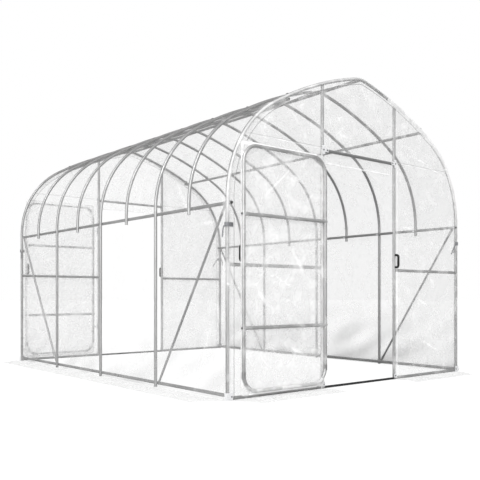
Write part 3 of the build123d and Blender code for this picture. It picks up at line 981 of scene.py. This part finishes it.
@dataclass
class GableFilm:
    """Film panels beside and over each doorway, the rain flaps and the ground skirts."""

    frame: TubeFrame
    lift: float = 0.6 * MM
    clearance: float = 2 * MM
    bulge: float = 2.5 * MM
    seam: float = 1615 * MM
    skirt: float = 200 * MM
    taper: float = 110 * MM
    hem: float = 34 * MM
    taut_rim: float = 0.06
    top_lap: float = 6 * MM
    ceiling: float = 2.2
    wrap_height: float = 1.58
    flap_width: float = 0.75
    side_skirt_length: float = 3.18
    gable_skirt_length: float = 3.35
    creases: tuple = (
        ((0.53, 1.69), (0.83, 1.64), 6 * MM),
        ((0.74, 1.64), (0.99, 1.58), 7 * MM),
        ((0.99, 1.64), (1.09, 1.62), 6 * MM),
        ((0.44, 1.14), (0.60, 1.13), 6 * MM),
        ((0.66, 0.60), (0.84, 0.52), 7 * MM),
        ((0.70, 0.28), (0.94, 0.18), 7 * MM),
        ((-1.01, 1.617), (-0.41, 1.602), 4 * MM),
    )

    def panel(self, left: float, right: float, bottom: float, seed: int) -> Patch:
        """A panel between two upright lines and up to the arch.

        Its grid stands off the gable by seeded waves, and rows past the arch are pressed down onto
        it. Marks show the hems beside the doorway, the weld under the seam height and the creases,
        whose white is a painted highlight.
        """
        rims = (1.5 * MM, 4 * MM, 22 * MM, 25 * MM, 28 * MM, 31 * MM, self.hem, self.hem + 2 * MM)
        levels = tuple(self.seam + step * MM for step in (-12, -9, -3, -1.5, 0, 1.5, 3))
        x = spaced(left, right, 84, rims)
        z = spaced(bottom, self.ceiling, 210, rims, levels)
        top = self.frame.line.height(x, self.top_lap)[None, :]
        grid_x, grid_z = np.meshgrid(x, z)
        grid_z = np.minimum(grid_z, top)
        rim = np.minimum.reduce([grid_x - left, right - grid_x, grid_z - bottom, top - grid_z])
        free = np.clip(rim / self.taut_rim, 0, 1)
        wave = fold_noise(grid_x * 1.4, grid_z * 0.8, seed, 0.45)
        sharp = loose_creases(grid_x, grid_z, seed + 70, 30, 0.2)
        named = [crease(grid_x, grid_z, *one) for one in self.creases]
        sharp = np.maximum(sharp * 0.4, 0.8 * np.maximum.reduce(named)) * free
        stand = np.maximum(self.bulge * free * (0.6 + 0.5 * wave) + 1.2 * MM * sharp, 0)
        grid = np.stack([grid_x, -(self.frame.face + self.lift + stand), grid_z], axis=-1)
        level = grid_z - self.seam
        weld_line = np.where(np.abs(level) < 2.5 * MM, 0.6, 0) * (rim > 10 * MM) * (np.abs(grid_x) > 0.4)
        weld_glow = np.where((level < -2 * MM) & (level > -10 * MM), 0.3, 0)
        beside = np.abs(grid_x) - self.frame.post
        hem = (beside > 10 * MM) & (beside < self.hem - 10 * MM) & (grid_z < self.frame.header)
        line = hem & (beside > 13 * MM) & (beside < 15 * MM)
        # White mark: painted highlights on the creases, the doubled film under the weld and the milky hem
        # beside the doorway.
        milk_and_highlight = np.maximum.reduce([sharp, weld_glow, 0.7 * (hem & ~line)])
        return film_patch(grid, 1 + 0.3 * hem, milk_and_highlight, weld_line + 0.4 * line).trimmed()

    def flap(self) -> Patch:
        """The rain flap behind a header, hanging with soft vertical waves that grow towards its hem."""
        low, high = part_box("door_flaps")
        x = np.linspace(low.x, high.x, 60)
        z = spaced(low.z, high.z, 14, (2 * MM, 4 * MM, 12 * MM))
        down = (high.z - z) / (high.z - low.z)
        wave = np.sin(TURN * x / 0.24 + 1.2 * fold_noise(x, 0 * x, Seed.FLAP, 0.5))
        grid_x, grid_z = np.meshgrid(x, z)
        off = low.y + self.lift + 3 * MM * down[:, None] * (1 + wave[None, :])
        hem = grid_z - low.z < 13 * MM
        grid = np.stack([grid_x, off, grid_z], axis=-1)
        edge = np.where(grid_z - low.z < 3 * MM, 0.4, 0)
        return film_patch(grid, 0.8 + 0.5 * hem, 0.5 * hem, edge).mirrored(1)

    def strip(self, inner: tuple, outer: tuple, seed: int) -> Patch:
        """A ground strip between two lines, each two points, rippled so that it lies lightly on the ground."""
        share = np.linspace(0, 1, 120)[:, None, None]
        out = np.linspace(0, 1, 14)[None, :, None]
        near, far = (np.array(start) * (1 - share) + np.array(end) * share for start, end in (inner, outer))
        flat = near * (1 - out) + far * out
        ripple = fold_noise(flat[..., 0] * 2, flat[..., 1] * 2, seed, 0.5)
        height = 1.2 * MM + 2.6 * MM * (1 + ripple) * np.sin(math.pi * np.clip(out[..., 0], 0.08, 0.92))
        grid = np.concatenate([flat, np.maximum(height, 0.8 * MM)[..., None]], axis=-1)
        return film_patch(grid, 1.0, 0.0, 0.06)

    def wrap(self) -> Patch:
        """The panel's edge turned round one side of a door post, mirrored to all posts.

        It is a little over a half circle round the post's centre line, from the gable face to the
        back, as high as the doorway.
        """
        f = self.frame
        turn = np.linspace(-math.pi / 2, math.pi / 2 + 0.6, 16)
        r = f.radius + 0.7 * MM
        z = np.linspace(3 * MM, f.header - f.radius - 1 * MM, 40)
        grid = np.empty((len(z), len(turn), 3))
        grid[..., 0] = f.post - r * np.cos(turn)
        grid[..., 1] = -f.length / 2 + r * np.sin(turn)
        grid[..., 2] = z[:, None]
        return film_patch(grid, 0.7, 0.08, 0.0).mirrored(0, 1)

    def build(self, finishes: Finishes) -> None:
        """Makes the panels, wraps, flaps and skirts of both gables and the long sides' skirts."""
        f, film = self.frame, finishes.gable
        edge = f.line.half_width + f.radius * 0.9
        door = f.post - f.radius
        for word, back in (("front", False), ("back", True)):
            for name, left, right, bottom, seed in (
                ("left_panel", -edge, -door, self.clearance, Seed.PANEL_LEFT),
                ("right_panel", door, edge, self.clearance, Seed.PANEL_RIGHT),
                ("top_panel", -door, door, f.header + 0.6 * f.radius, Seed.PANEL_TOP),
            ):
                patch = self.panel(left, right, bottom, seed + 10 * back)
                # Painted shade: the back gable's right panel gets more layers and a grey mark, so that it
                # looks darker than the other panels.
                patch.marks += [0.3, 0, 0.14] if back and left > 0 else 0
                patch = patch.flipped(1) if back else patch
                node = f"{word}_{name}"
                piece = make_piece(f"{node}_film", patch, film, nodes=(node,))
                wide, _, tall = (float(size) for size in patch.points.max(0) - patch.points.min(0))
                area = min(patch.area(), wide * tall)
        patch = self.wrap()
        piece = make_piece("door_post_wraps", patch, film)
        patch.flat_size(self.wrap_height)
        patch = self.flap()
        piece = make_piece("door_flap_films", patch, film, nodes=("door_flaps",))
        patch.flat_size(self.flap_width)
        wall = f.line.half_width + f.radius + 1.2 * MM
        end = f.face + 2.4 * MM
        outer, past, short = wall + self.skirt, -end - self.skirt, end - self.taper
        side = self.strip(((wall, -end), (wall, end)), ((outer, -short), (outer, short)), Seed.SKIRT_SIDE)
        beyond = ((door, past), (edge - self.taper, past))
        gable = self.strip(((door, -end), (edge, -end)), beyond, Seed.SKIRT_GABLE)
        for name, patch, node, long in (
            ("right_ground_skirt", side, "right_skirt", self.side_skirt_length),
            ("left_ground_skirt", side.flipped(0), "left_skirt", self.side_skirt_length),
            ("gable_ground_skirts", gable.mirrored(0, 1), "gable_skirts", self.gable_skirt_length),
        ):
            piece = make_piece(name, patch, film, nodes=(node,))
            patch.flat_size(long)


@dataclass
class DoorLeaf:
    """One swing door: a bent tube frame with two crossbars, wrinkled film with hems, and a pull handle."""

    frame: TubeFrame
    body: Body
    corner: float = 105 * MM
    hem: float = 22 * MM
    film_corner: float = 20 * MM
    joint: float = 150 * MM
    collar: float = 40 * MM
    crossbars: tuple[float, float] = (430 * MM, 1112 * MM)
    sleeve_gap: float = 0.7 * MM
    sleeve_turn: float = 2.9
    sleeve_points: int = 22
    sleeve_length: float = 5.6
    milky_height: float = 0.085
    glow_corner: float = 70 * MM
    taut_rim: float = 0.03
    taut_step: float = 0.05
    slant_pitch: float = 0.19
    creases: tuple = (
        ((-0.95, 1.23), (-0.72, 1.43), 9 * MM),
        ((-0.72, 1.40), (-0.58, 1.33), 8 * MM),
        ((-0.72, 0.92), (-0.60, 0.76), 12 * MM),
        ((-1.02, 0.68), (-0.90, 0.54), 10 * MM),
        ((-0.74, 0.30), (-0.56, 0.22), 10 * MM),
    )

    @property
    def word(self) -> str:
        """The body's name, which starts its nodes' names."""
        return self.body.value

    @property
    def out(self) -> float:
        """Sign of Y on the outer side of this door's gable."""
        return -1.0 if self.body is Body.FRONT_DOOR else 1.0

    def rim(self, low: np.ndarray, high: np.ndarray) -> np.ndarray:
        """A rectangle with round corners as a closed list of (x, z) points.

        Each corner is a quarter circle about a point that lies in from the corner by its radius.
        """
        (x0, z0), (x1, z1) = low + self.corner, high - self.corner
        centre = np.array([[x1, z1], [x0, z1], [x0, z0], [x1, z0]])
        turn = np.linspace(0, math.pi / 2, 12)[None, :] + np.arange(4)[:, None] * math.pi / 2
        spots = centre[:, None, :] + self.corner * np.stack([np.cos(turn), np.sin(turn)], axis=-1)
        return spots.reshape(-1, 2)

    def build(self, finishes: Finishes) -> None:
        """Makes the leaf's frame, film, hems and handle where its CAD nodes are."""
        r = self.frame.radius
        low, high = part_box(f"{self.word}_frame")
        y = (low.y + high.y) / 2
        rim = self.rim(np.array([low.x + r, low.z + r]), np.array([high.x - r, high.z - r]))
        path = np.stack([rim[:, 0], np.full(len(rim), y), rim[:, 1]], axis=1)
        ends = [((low.x + r, y, z), (high.x - r, y, z)) for z in self.crossbars]
        bars = [straight_tube(*end, r) for end in ends]
        tube = Patch.joined([tube_patch(path, (0, 1, 0), r, loop=True, sides=24)] + bars)
        weld(make_piece(f"{self.word}_tube", tube, finishes.tube, self.body, (f"{self.word}_frame",)))
        self.dress_sleeve(finishes, path, ends)
        self.dress_film(finishes)
        self.dress_joints(finishes, low.x + r, high.x - r, y)
        low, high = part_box(f"{self.word}_handle")
        pull = pull_handle(low, high, -self.out)
        weld(make_piece(f"{self.word}_pull", pull, finishes.plastic, self.body, (f"{self.word}_handle",)))

    def sleeve(self, path: np.ndarray, loop: bool) -> Patch:
        """Film folded round a tube, open on the wall side.

        It is the path's point plus the pocket's radius round it, over all but a narrow slit.
        """
        wide = self.frame.radius + self.sleeve_gap
        across = np.broadcast_to([0.0, self.out, 0.0], path.shape)
        turn = np.linspace(-self.sleeve_turn, self.sleeve_turn, self.sleeve_points)
        grid = path[:, None, :] + wide * circles(across, np.cross(across, tangents(path, loop)), turn)
        milky = np.where(grid[..., 2] < self.milky_height, 0.55, 0) * loop
        return film_patch(grid, 0.6, milky, 0.0, loop)

    def dress_sleeve(self, finishes: Finishes, path: np.ndarray, ends: list) -> None:
        """The film's pockets round the frame and the crossbars."""
        bars = [self.sleeve(np.linspace(*end, 9), False) for end in ends]
        patch = Patch.joined([self.sleeve(path, True)] + bars)
        piece = make_piece(f"{self.word}_sleeve", patch, finishes.door, self.body)
        patch.flat_size(self.sleeve_length)

    def dress_film(self, finishes: Finishes) -> None:
        """The film panel with wrinkles between the bars, painted highlights on its creases, and a milky hem
        with a painted highlight.

        The panel is a grid squeezed into the rounded outline: each row's half width shrinks inside
        the corner arcs as a circle does. Wrinkles stand towards the wall side only.
        """
        low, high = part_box(f"{self.word}_film")
        y = (low.y + high.y) / 2
        corner = self.film_corner
        bend = corner * (1 - np.cos(np.linspace(0, math.pi / 2, 16)))
        rims = (1.5 * MM, 3 * MM, 10 * MM, self.hem, self.hem + 2 * MM)
        z = spaced(low.z, high.z, 150, (*rims, *bend.tolist()))
        depth = np.clip(corner - np.minimum(z - low.z, high.z - z), 0, corner)
        inset = corner - np.sqrt(np.maximum(corner**2 - depth**2, 0))
        width = high.x - low.x
        share = spaced(0, 1, 76, tuple(rim / width for rim in rims))
        left, right = (low.x + inset)[:, None], (high.x - inset)[:, None]
        grid_x = left * (1 - share) + right * share
        grid_z = np.broadcast_to(z[:, None], grid_x.shape)
        edge = np.minimum.reduce([grid_x - left, right - grid_x, grid_z - low.z, high.z - grid_z])
        free = np.clip((edge - self.taut_rim) / self.taut_step, 0, 1)
        sharp = loose_creases(grid_x, grid_z, Seed.LEAF_CREASES, 30, 0.2) * 0.45
        named = [0.6 * crease(grid_x, grid_z, *one) for one in self.creases]
        sharp = np.maximum.reduce([sharp] + named) * free
        sway = 2 * fold_noise(grid_x, grid_z, Seed.LEAF_SLANT, 0.6)
        slant = np.sin(TURN * (grid_x * 0.8 + grid_z * 0.6) / self.slant_pitch + sway)
        swell = (0.5 + 0.5 * fold_noise(grid_x, grid_z, Seed.LEAF_SWELL, 0.9)) ** 2
        stand = free * (1.2 * MM * (0.5 + 0.5 * slant) * swell) + 0.8 * MM * sharp
        grid = np.stack([grid_x, y - self.out * stand, grid_z], axis=-1)
        hem = edge < self.hem + 1 * MM
        side = np.minimum(grid_x - low.x, high.x - grid_x)
        rise = np.minimum(grid_z - low.z, high.z - grid_z)
        # Painted highlight: the hem is whitest along the low-X side, top and bottom, faint along the high-X
        # side and in the corners, as light from the left catches the doubled film round the stile.
        glow = np.where(high.x - grid_x < self.hem * 1.2, 0.2, 0.9)
        glow = np.where(np.maximum(side, rise) < self.glow_corner, 0.12, glow)
        patch = film_patch(grid, 1.0 + hem, np.maximum(sharp, glow * hem), np.where(edge < 2 * MM, 0.4, 0))
        piece = make_piece(f"{self.word}_sheet", patch, finishes.door, self.body, (f"{self.word}_film",))
        size = high - low
        area = min(patch.area(), size.x * size.z)

    def dress_joints(self, finishes: Finishes, left: float, right: float, y: float) -> None:
        """Collars where the bent corners join the stiles, and bolt heads at the ends of the crossbars."""
        r, reach = self.frame.radius, self.collar / 2
        bottom, top = self.joint - reach, self.joint + reach
        collars = [straight_tube((x, y, bottom), (x, y, top), r + 1.3 * MM) for x in (left, right)]
        weld(make_piece(f"{self.word}_collars", Patch.joined(collars), finishes.tube, self.body))
        sides = ((left, -1), (right, 1))
        spots = [(x + out * (r + 0.8 * MM), y, z) for x, out in sides for z in self.crossbars]
        ways = [(out, 0, 0) for _, out in sides for _ in self.crossbars]
        heads = turned_patch(BOLT_HEAD, np.array(spots), np.array(ways, float), 12)
        weld(make_piece(f"{self.word}_bolts", heads, finishes.screw, self.body))


def pull_handle(low: Vector, high: Vector, out: float) -> Patch:
    """A D-shaped pull handle in a box: a round bow on two feet.

    The bow's path is a rounded C from foot to foot.

    Args:
        low: lowest corner of the handle's box.
        high: highest corner.
        out: sign of Y away from the face that it is fixed to.

    Returns:
        The patch.
    """
    x = (low.x + high.x) / 2
    face, tip = (low.y, high.y) if out > 0 else (high.y, low.y)
    bar, foot, bend = 8.5 * MM, 11 * MM, 15 * MM
    bottom, top = low.z + foot, high.z - foot
    reach = tip - out * bar
    quarter = np.linspace(0, math.pi / 2, 9)
    near, far = bend * (1 - np.sin(quarter)), bend * (1 - np.cos(quarter))
    first = np.stack([reach - out * near, bottom + far], axis=1)
    second = np.stack([reach - out * far, top - near], axis=1)
    grip = np.linspace(first[-1], second[0], 12)[1:-1]
    flat = np.vstack([[face, bottom], first, grip, second, [face, top]])
    path = np.stack([np.full(len(flat), x), flat[:, 0], flat[:, 1]], axis=1)
    bow = tube_patch(path, (1, 0, 0), bar, wall=bar * 0.9, sides=16)
    places = np.array([[x, face, bottom], [x, face, top]])
    feet = turned_patch(SCREW_BOSS, places, np.array([[0, out, 0]] * 2), 20)
    return Patch.joined([bow, feet])


@dataclass
class Fittings:
    """Bolts, caps, straps, post handles and the finishes of the plates that the CAD part carries."""

    frame: TubeFrame
    plate: float = 29 * MM
    inset: float = 22 * MM
    strap: float = 26 * MM
    strap_height: float = 1047 * MM
    strap_bend: float = 8 * MM
    gable_reach: float = 46 * MM
    side_reach: float = 26 * MM
    side_tail: tuple[float, float, float] = (-1.562, -1.548, 68 * MM)
    gable_tail: tuple[float, float, float] = (1.165, 1.108, 84 * MM)
    plates: tuple[str, ...] = (
        "corner_feet", "header_brackets", "post_clips", "post_hinges", "front_door_hinges", "back_door_hinges"
    )

    def arch_spots(self, column: int, value: float, offset: float) -> tuple[np.ndarray, np.ndarray]:
        """Places on every arch, both sides, and the outward normals there.

        Args:
            column: 0 to find the place by its distance from the middle, 1 by its height.
            value: that distance or height.
            offset: distance out from the arch's centre line.

        Returns:
            Places and directions.
        """
        points, normals = self.frame.line.half(600)
        index = int(np.argmin(np.abs(points[:, column] - value)))
        spot, way = points[index] + normals[index] * offset, normals[index]
        both = [(side, y) for y in self.frame.arch_places for side in (-1, 1)]
        return (
            np.array([(side * spot[0], y, spot[1]) for side, y in both]),
            np.array([(side * way[0], 0, way[1]) for side, y in both]),
        )

    def screw_places(self) -> tuple[np.ndarray, np.ndarray]:
        """Places and directions of the screws that face out of the gables."""
        f = self.frame
        face = f.face + 3.7 * MM
        spots = [(x, z) for x in (-f.post, f.post) for z in (f.header, self.plate)]
        spots += [(sign * (f.post - 34 * MM), f.header) for sign in (-1, 1)]
        spots += [(sign * (f.line.half_width - self.inset), self.inset) for sign in (-1, 1)]
        return (
            np.array([(x, sign * face, z) for x, z in spots for sign in (-1, 1)]),
            np.array([(0, sign, 0) for _ in spots for sign in (-1, 1)], float),
        )

    def end_places(self) -> tuple[np.ndarray, np.ndarray]:
        """Places and directions of the side rails' four ends."""
        f = self.frame
        rail, face = f.line.half_width - 2 * f.radius, f.face + 2 * MM
        signs = [(sx, sy) for sx in (-1, 1) for sy in (-1, 1)]
        spots = np.array([(sx * rail, sy * face, f.side_rail) for sx, sy in signs])
        return spots, np.array([(0, sy, 0) for _, sy in signs], float)

    def build(self, finishes: Finishes) -> None:
        """Makes the fittings and dresses the plates."""
        f = self.frame
        nuts, inward = self.arch_spots(1, f.side_rail, -3 * f.radius)
        weld(make_piece("side_rail_bolts", turned_patch(BOLT_HEAD, nuts, -inward, 12), finishes.zinc))
        for name, profile, (spots, ways), sides in (
            ("purlin_bolts", ROOF_HEAD, self.arch_spots(0, f.purlin, f.radius + 0.8 * MM), 14),
            ("gable_screws", PAN_HEAD, self.screw_places(), 12),
            ("rail_end_caps", END_CAP, self.end_places(), 20),
        ):
            weld(make_piece(name, turned_patch(profile, spots, ways, sides), finishes.screw))
        self.dress_straps(finishes)
        for node in self.plates:
            materials = frame["nodes"][node].data.materials
            materials.clear()
            materials.append(finishes.zinc.material)
        low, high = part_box("post_handles")
        high.y = -(f.face + 1.2 * MM)
        patch = pull_handle(low, high, -1.0).mirrored(1)
        weld(make_piece("post_pulls", patch, finishes.plastic, nodes=("post_handles",)))

    def tail(self, start: tuple, end: tuple, side: tuple, curl: tuple) -> Patch:
        """A strap's loose end.

        A point is on the line from start to end, plus the half width along the side, plus a half
        sine of the place along it times the curl.
        """
        share = np.linspace(0, 1, 16)[:, None, None]
        wide = np.linspace(-0.5, 0.5, 4)[None, :, None] * self.strap * 0.45
        line = np.array(start) * (1 - share) + np.array(end) * share
        return grid_patch(line + wide * np.array(side) + np.sin(math.pi * share) * np.array(curl))

    def dress_straps(self, finishes: Finishes) -> None:
        """Webbing round each corner leg with a loose end that hangs down and curls a little."""
        low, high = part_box("corner_straps")
        out_x, out_y, radius = high.x, -low.y, self.strap_bend
        quarter = np.linspace(0, math.pi / 2, 7)
        corner_x = out_x - radius + radius * np.cos(quarter)
        corner_y = -(out_y - radius + radius * np.sin(quarter))
        corner = np.stack([corner_x, corner_y], axis=1)
        route = np.vstack([[out_x, -(out_y - self.side_reach)], corner, [out_x - self.gable_reach, -out_y]])
        heights = np.linspace(self.strap_height - self.strap / 2, self.strap_height + self.strap / 2, 5)
        band = np.empty((len(route), len(heights), 3))
        band[..., :2] = route[:, None, :]
        band[..., 2] = heights[None, :]
        z, x, y = self.strap_height - 6 * MM, out_x + 1.5 * MM, -out_y - 1.5 * MM
        start, end, fall = self.side_tail
        side_tail = self.tail((x, start, z), (x, end, z - fall), (0, 1, 0), (2 * MM, 0, 0))
        start, end, fall = self.gable_tail
        gable_tail = self.tail((start, y, z), (end, y, z - fall), (1, 0, 0), (0, -2 * MM, 0))
        both = Patch.joined([grid_patch(band), side_tail]).mirrored(0, 1)
        patch = Patch.joined([both, gable_tail.mirrored(1)])
        piece = make_piece("leg_straps", patch, finishes.webbing, nodes=("corner_straps",))
        thick = piece.modifiers.new("thickness", "SOLIDIFY")
        thick.thickness, thick.offset = 1.2 * MM, 0.0


def link(*items: bpy.types.Object) -> None:
    """Puts objects into the scene."""
    for item in items:
        bpy.context.scene.collection.objects.link(item)


@dataclass
class Studio:
    """White floor and surroundings, soft light and the camera."""

    place: tuple[float, float, float] = (-3.67985, -4.69324, 0.62924)
    turn: float = math.radians(39.60)
    focal_pixels: float = 670.33
    horizon_pixels: float = 294.71
    frame_pixels: float = 480.0
    sensor: float = 36.0
    floor_reach: float = 60.0
    floor_depth: float = 0.5 * MM
    floor_glow: float = 1.06
    key_strength: float = 1.4
    key_spread: float = math.radians(14)
    key_turn: tuple = (math.radians(48), 0, math.radians(-42))
    box_watts: float = 75
    box_size: tuple[float, float] = (3.4, 2.4)
    box_place: tuple = (-4.6, -2.6, 1.9)
    box_turn: tuple = (math.radians(80), 0, math.radians(-62))

    def camera(self) -> None:
        """The camera at the photograph's viewing angle, level, with the horizon set by its shift."""
        data = bpy.data.cameras.new("camera")
        data.sensor_width = self.sensor
        data.lens = self.focal_pixels * self.sensor / self.frame_pixels
        data.shift_y = (self.horizon_pixels - self.frame_pixels / 2) / self.frame_pixels
        item = bpy.data.objects.new("camera", data)
        item.location = self.place
        item.rotation_euler = (math.pi / 2, 0, -self.turn)
        link(item)
        bpy.context.scene.camera = item

    def floor(self) -> None:
        """A large white floor that stays white to the camera, keeps a soft shadow and mirrors darker."""
        shade = Shading.of("white studio floor")
        ray = shade.add_node("ShaderNodeLightPath").outputs
        tone = shade.blend(ray["Is Glossy Ray"], "#FFFFFF", "#8A8A8A")
        matte = shade.add_node("ShaderNodeBsdfDiffuse", {"Color": tone}).outputs[0]
        light = {"Color": linear("#FFFFFF"), "Strength": self.floor_glow}
        glow = shade.add_node("ShaderNodeEmission", light).outputs[0]
        seen = shade.calculate("MULTIPLY", ray["Is Camera Ray"], 0.8)
        material = shade.put_out(shade.add_node("ShaderNodeMixShader", {0: seen, 1: matte, 2: glow}))
        size = self.floor_reach
        corners = [(-size, -size, 0), (size, -size, 0), (size, size, 0), (-size, size, 0)]
        mesh = bpy.data.meshes.new("studio_floor")
        mesh.from_pydata(corners, [], [(0, 1, 2, 3)])
        mesh.materials.append(material)
        item = bpy.data.objects.new("studio_floor", mesh)
        item.location.z = -self.floor_depth
        link(item)

    def surroundings(self) -> None:
        """A world that is white to the camera; to other rays it is bright behind the camera and dim ahead."""
        world = bpy.data.worlds.new("white studio")
        bpy.context.scene.world = world
        shade = Shading(world)
        way = shade.add_node("ShaderNodeTexCoord").outputs["Generated"]
        ahead = (math.sin(self.turn), math.cos(self.turn), 0.0)
        facing = shade.add_node("ShaderNodeVectorMath", {0: way, 1: ahead}, operation="DOT_PRODUCT")
        level = shade.remap(facing.outputs["Value"], (0.95, 0.25), (-0.9, 0.5))
        ray = shade.add_node("ShaderNodeLightPath").outputs
        clear = shade.calculate("MAXIMUM", ray["Is Camera Ray"], ray["Is Transmission Ray"])
        lit = shade.add_node("ShaderNodeMix", {0: ray["Is Glossy Ray"], 2: 0.8, 3: level}, data_type="FLOAT")
        strength = shade.add_node("ShaderNodeMix", {0: clear, 2: lit.outputs[0], 3: 1.0}, data_type="FLOAT")
        inputs = {"Color": linear("#FFFFFF"), "Strength": strength.outputs[0]}
        shade.put_out(shade.add_node("ShaderNodeBackground", inputs), "ShaderNodeOutputWorld")

    def lamps(self) -> None:
        """A soft sun from the front left and a large soft box at the left side."""
        sun = bpy.data.lights.new("key", "SUN")
        sun.energy, sun.angle = self.key_strength, self.key_spread
        key = bpy.data.objects.new("key", sun)
        key.rotation_euler = self.key_turn
        box = bpy.data.lights.new("soft box", "AREA")
        box.shape, box.energy = "RECTANGLE", self.box_watts
        box.size, box.size_y = self.box_size
        side = bpy.data.objects.new("soft box", box)
        side.location = self.box_place
        side.rotation_euler = self.box_turn
        side.visible_camera = False
        link(key, side)

    def build(self) -> None:
        """Sets the view's transform and makes the studio."""
        bpy.context.scene.view_settings.view_transform = "Standard"
        self.camera()
        self.floor()
        self.surroundings()
        self.lamps()


def main() -> None:
    """Builds the studio and every sub-assembly in order."""
    logging.basicConfig(level=logging.INFO, format="%(name)s %(message)s")
    finishes = build_finishes()
    tubes = TubeFrame(ArchLine())
    Studio().build()
    tubes.build(finishes)
    Cover(tubes).build(finishes)
    GableFilm(tubes).build(finishes)
    for body in (Body.FRONT_DOOR, Body.BACK_DOOR):
        DoorLeaf(tubes, body).build(finishes)
    Fittings(tubes).build(finishes)


if __name__ == "__main__":
    main()
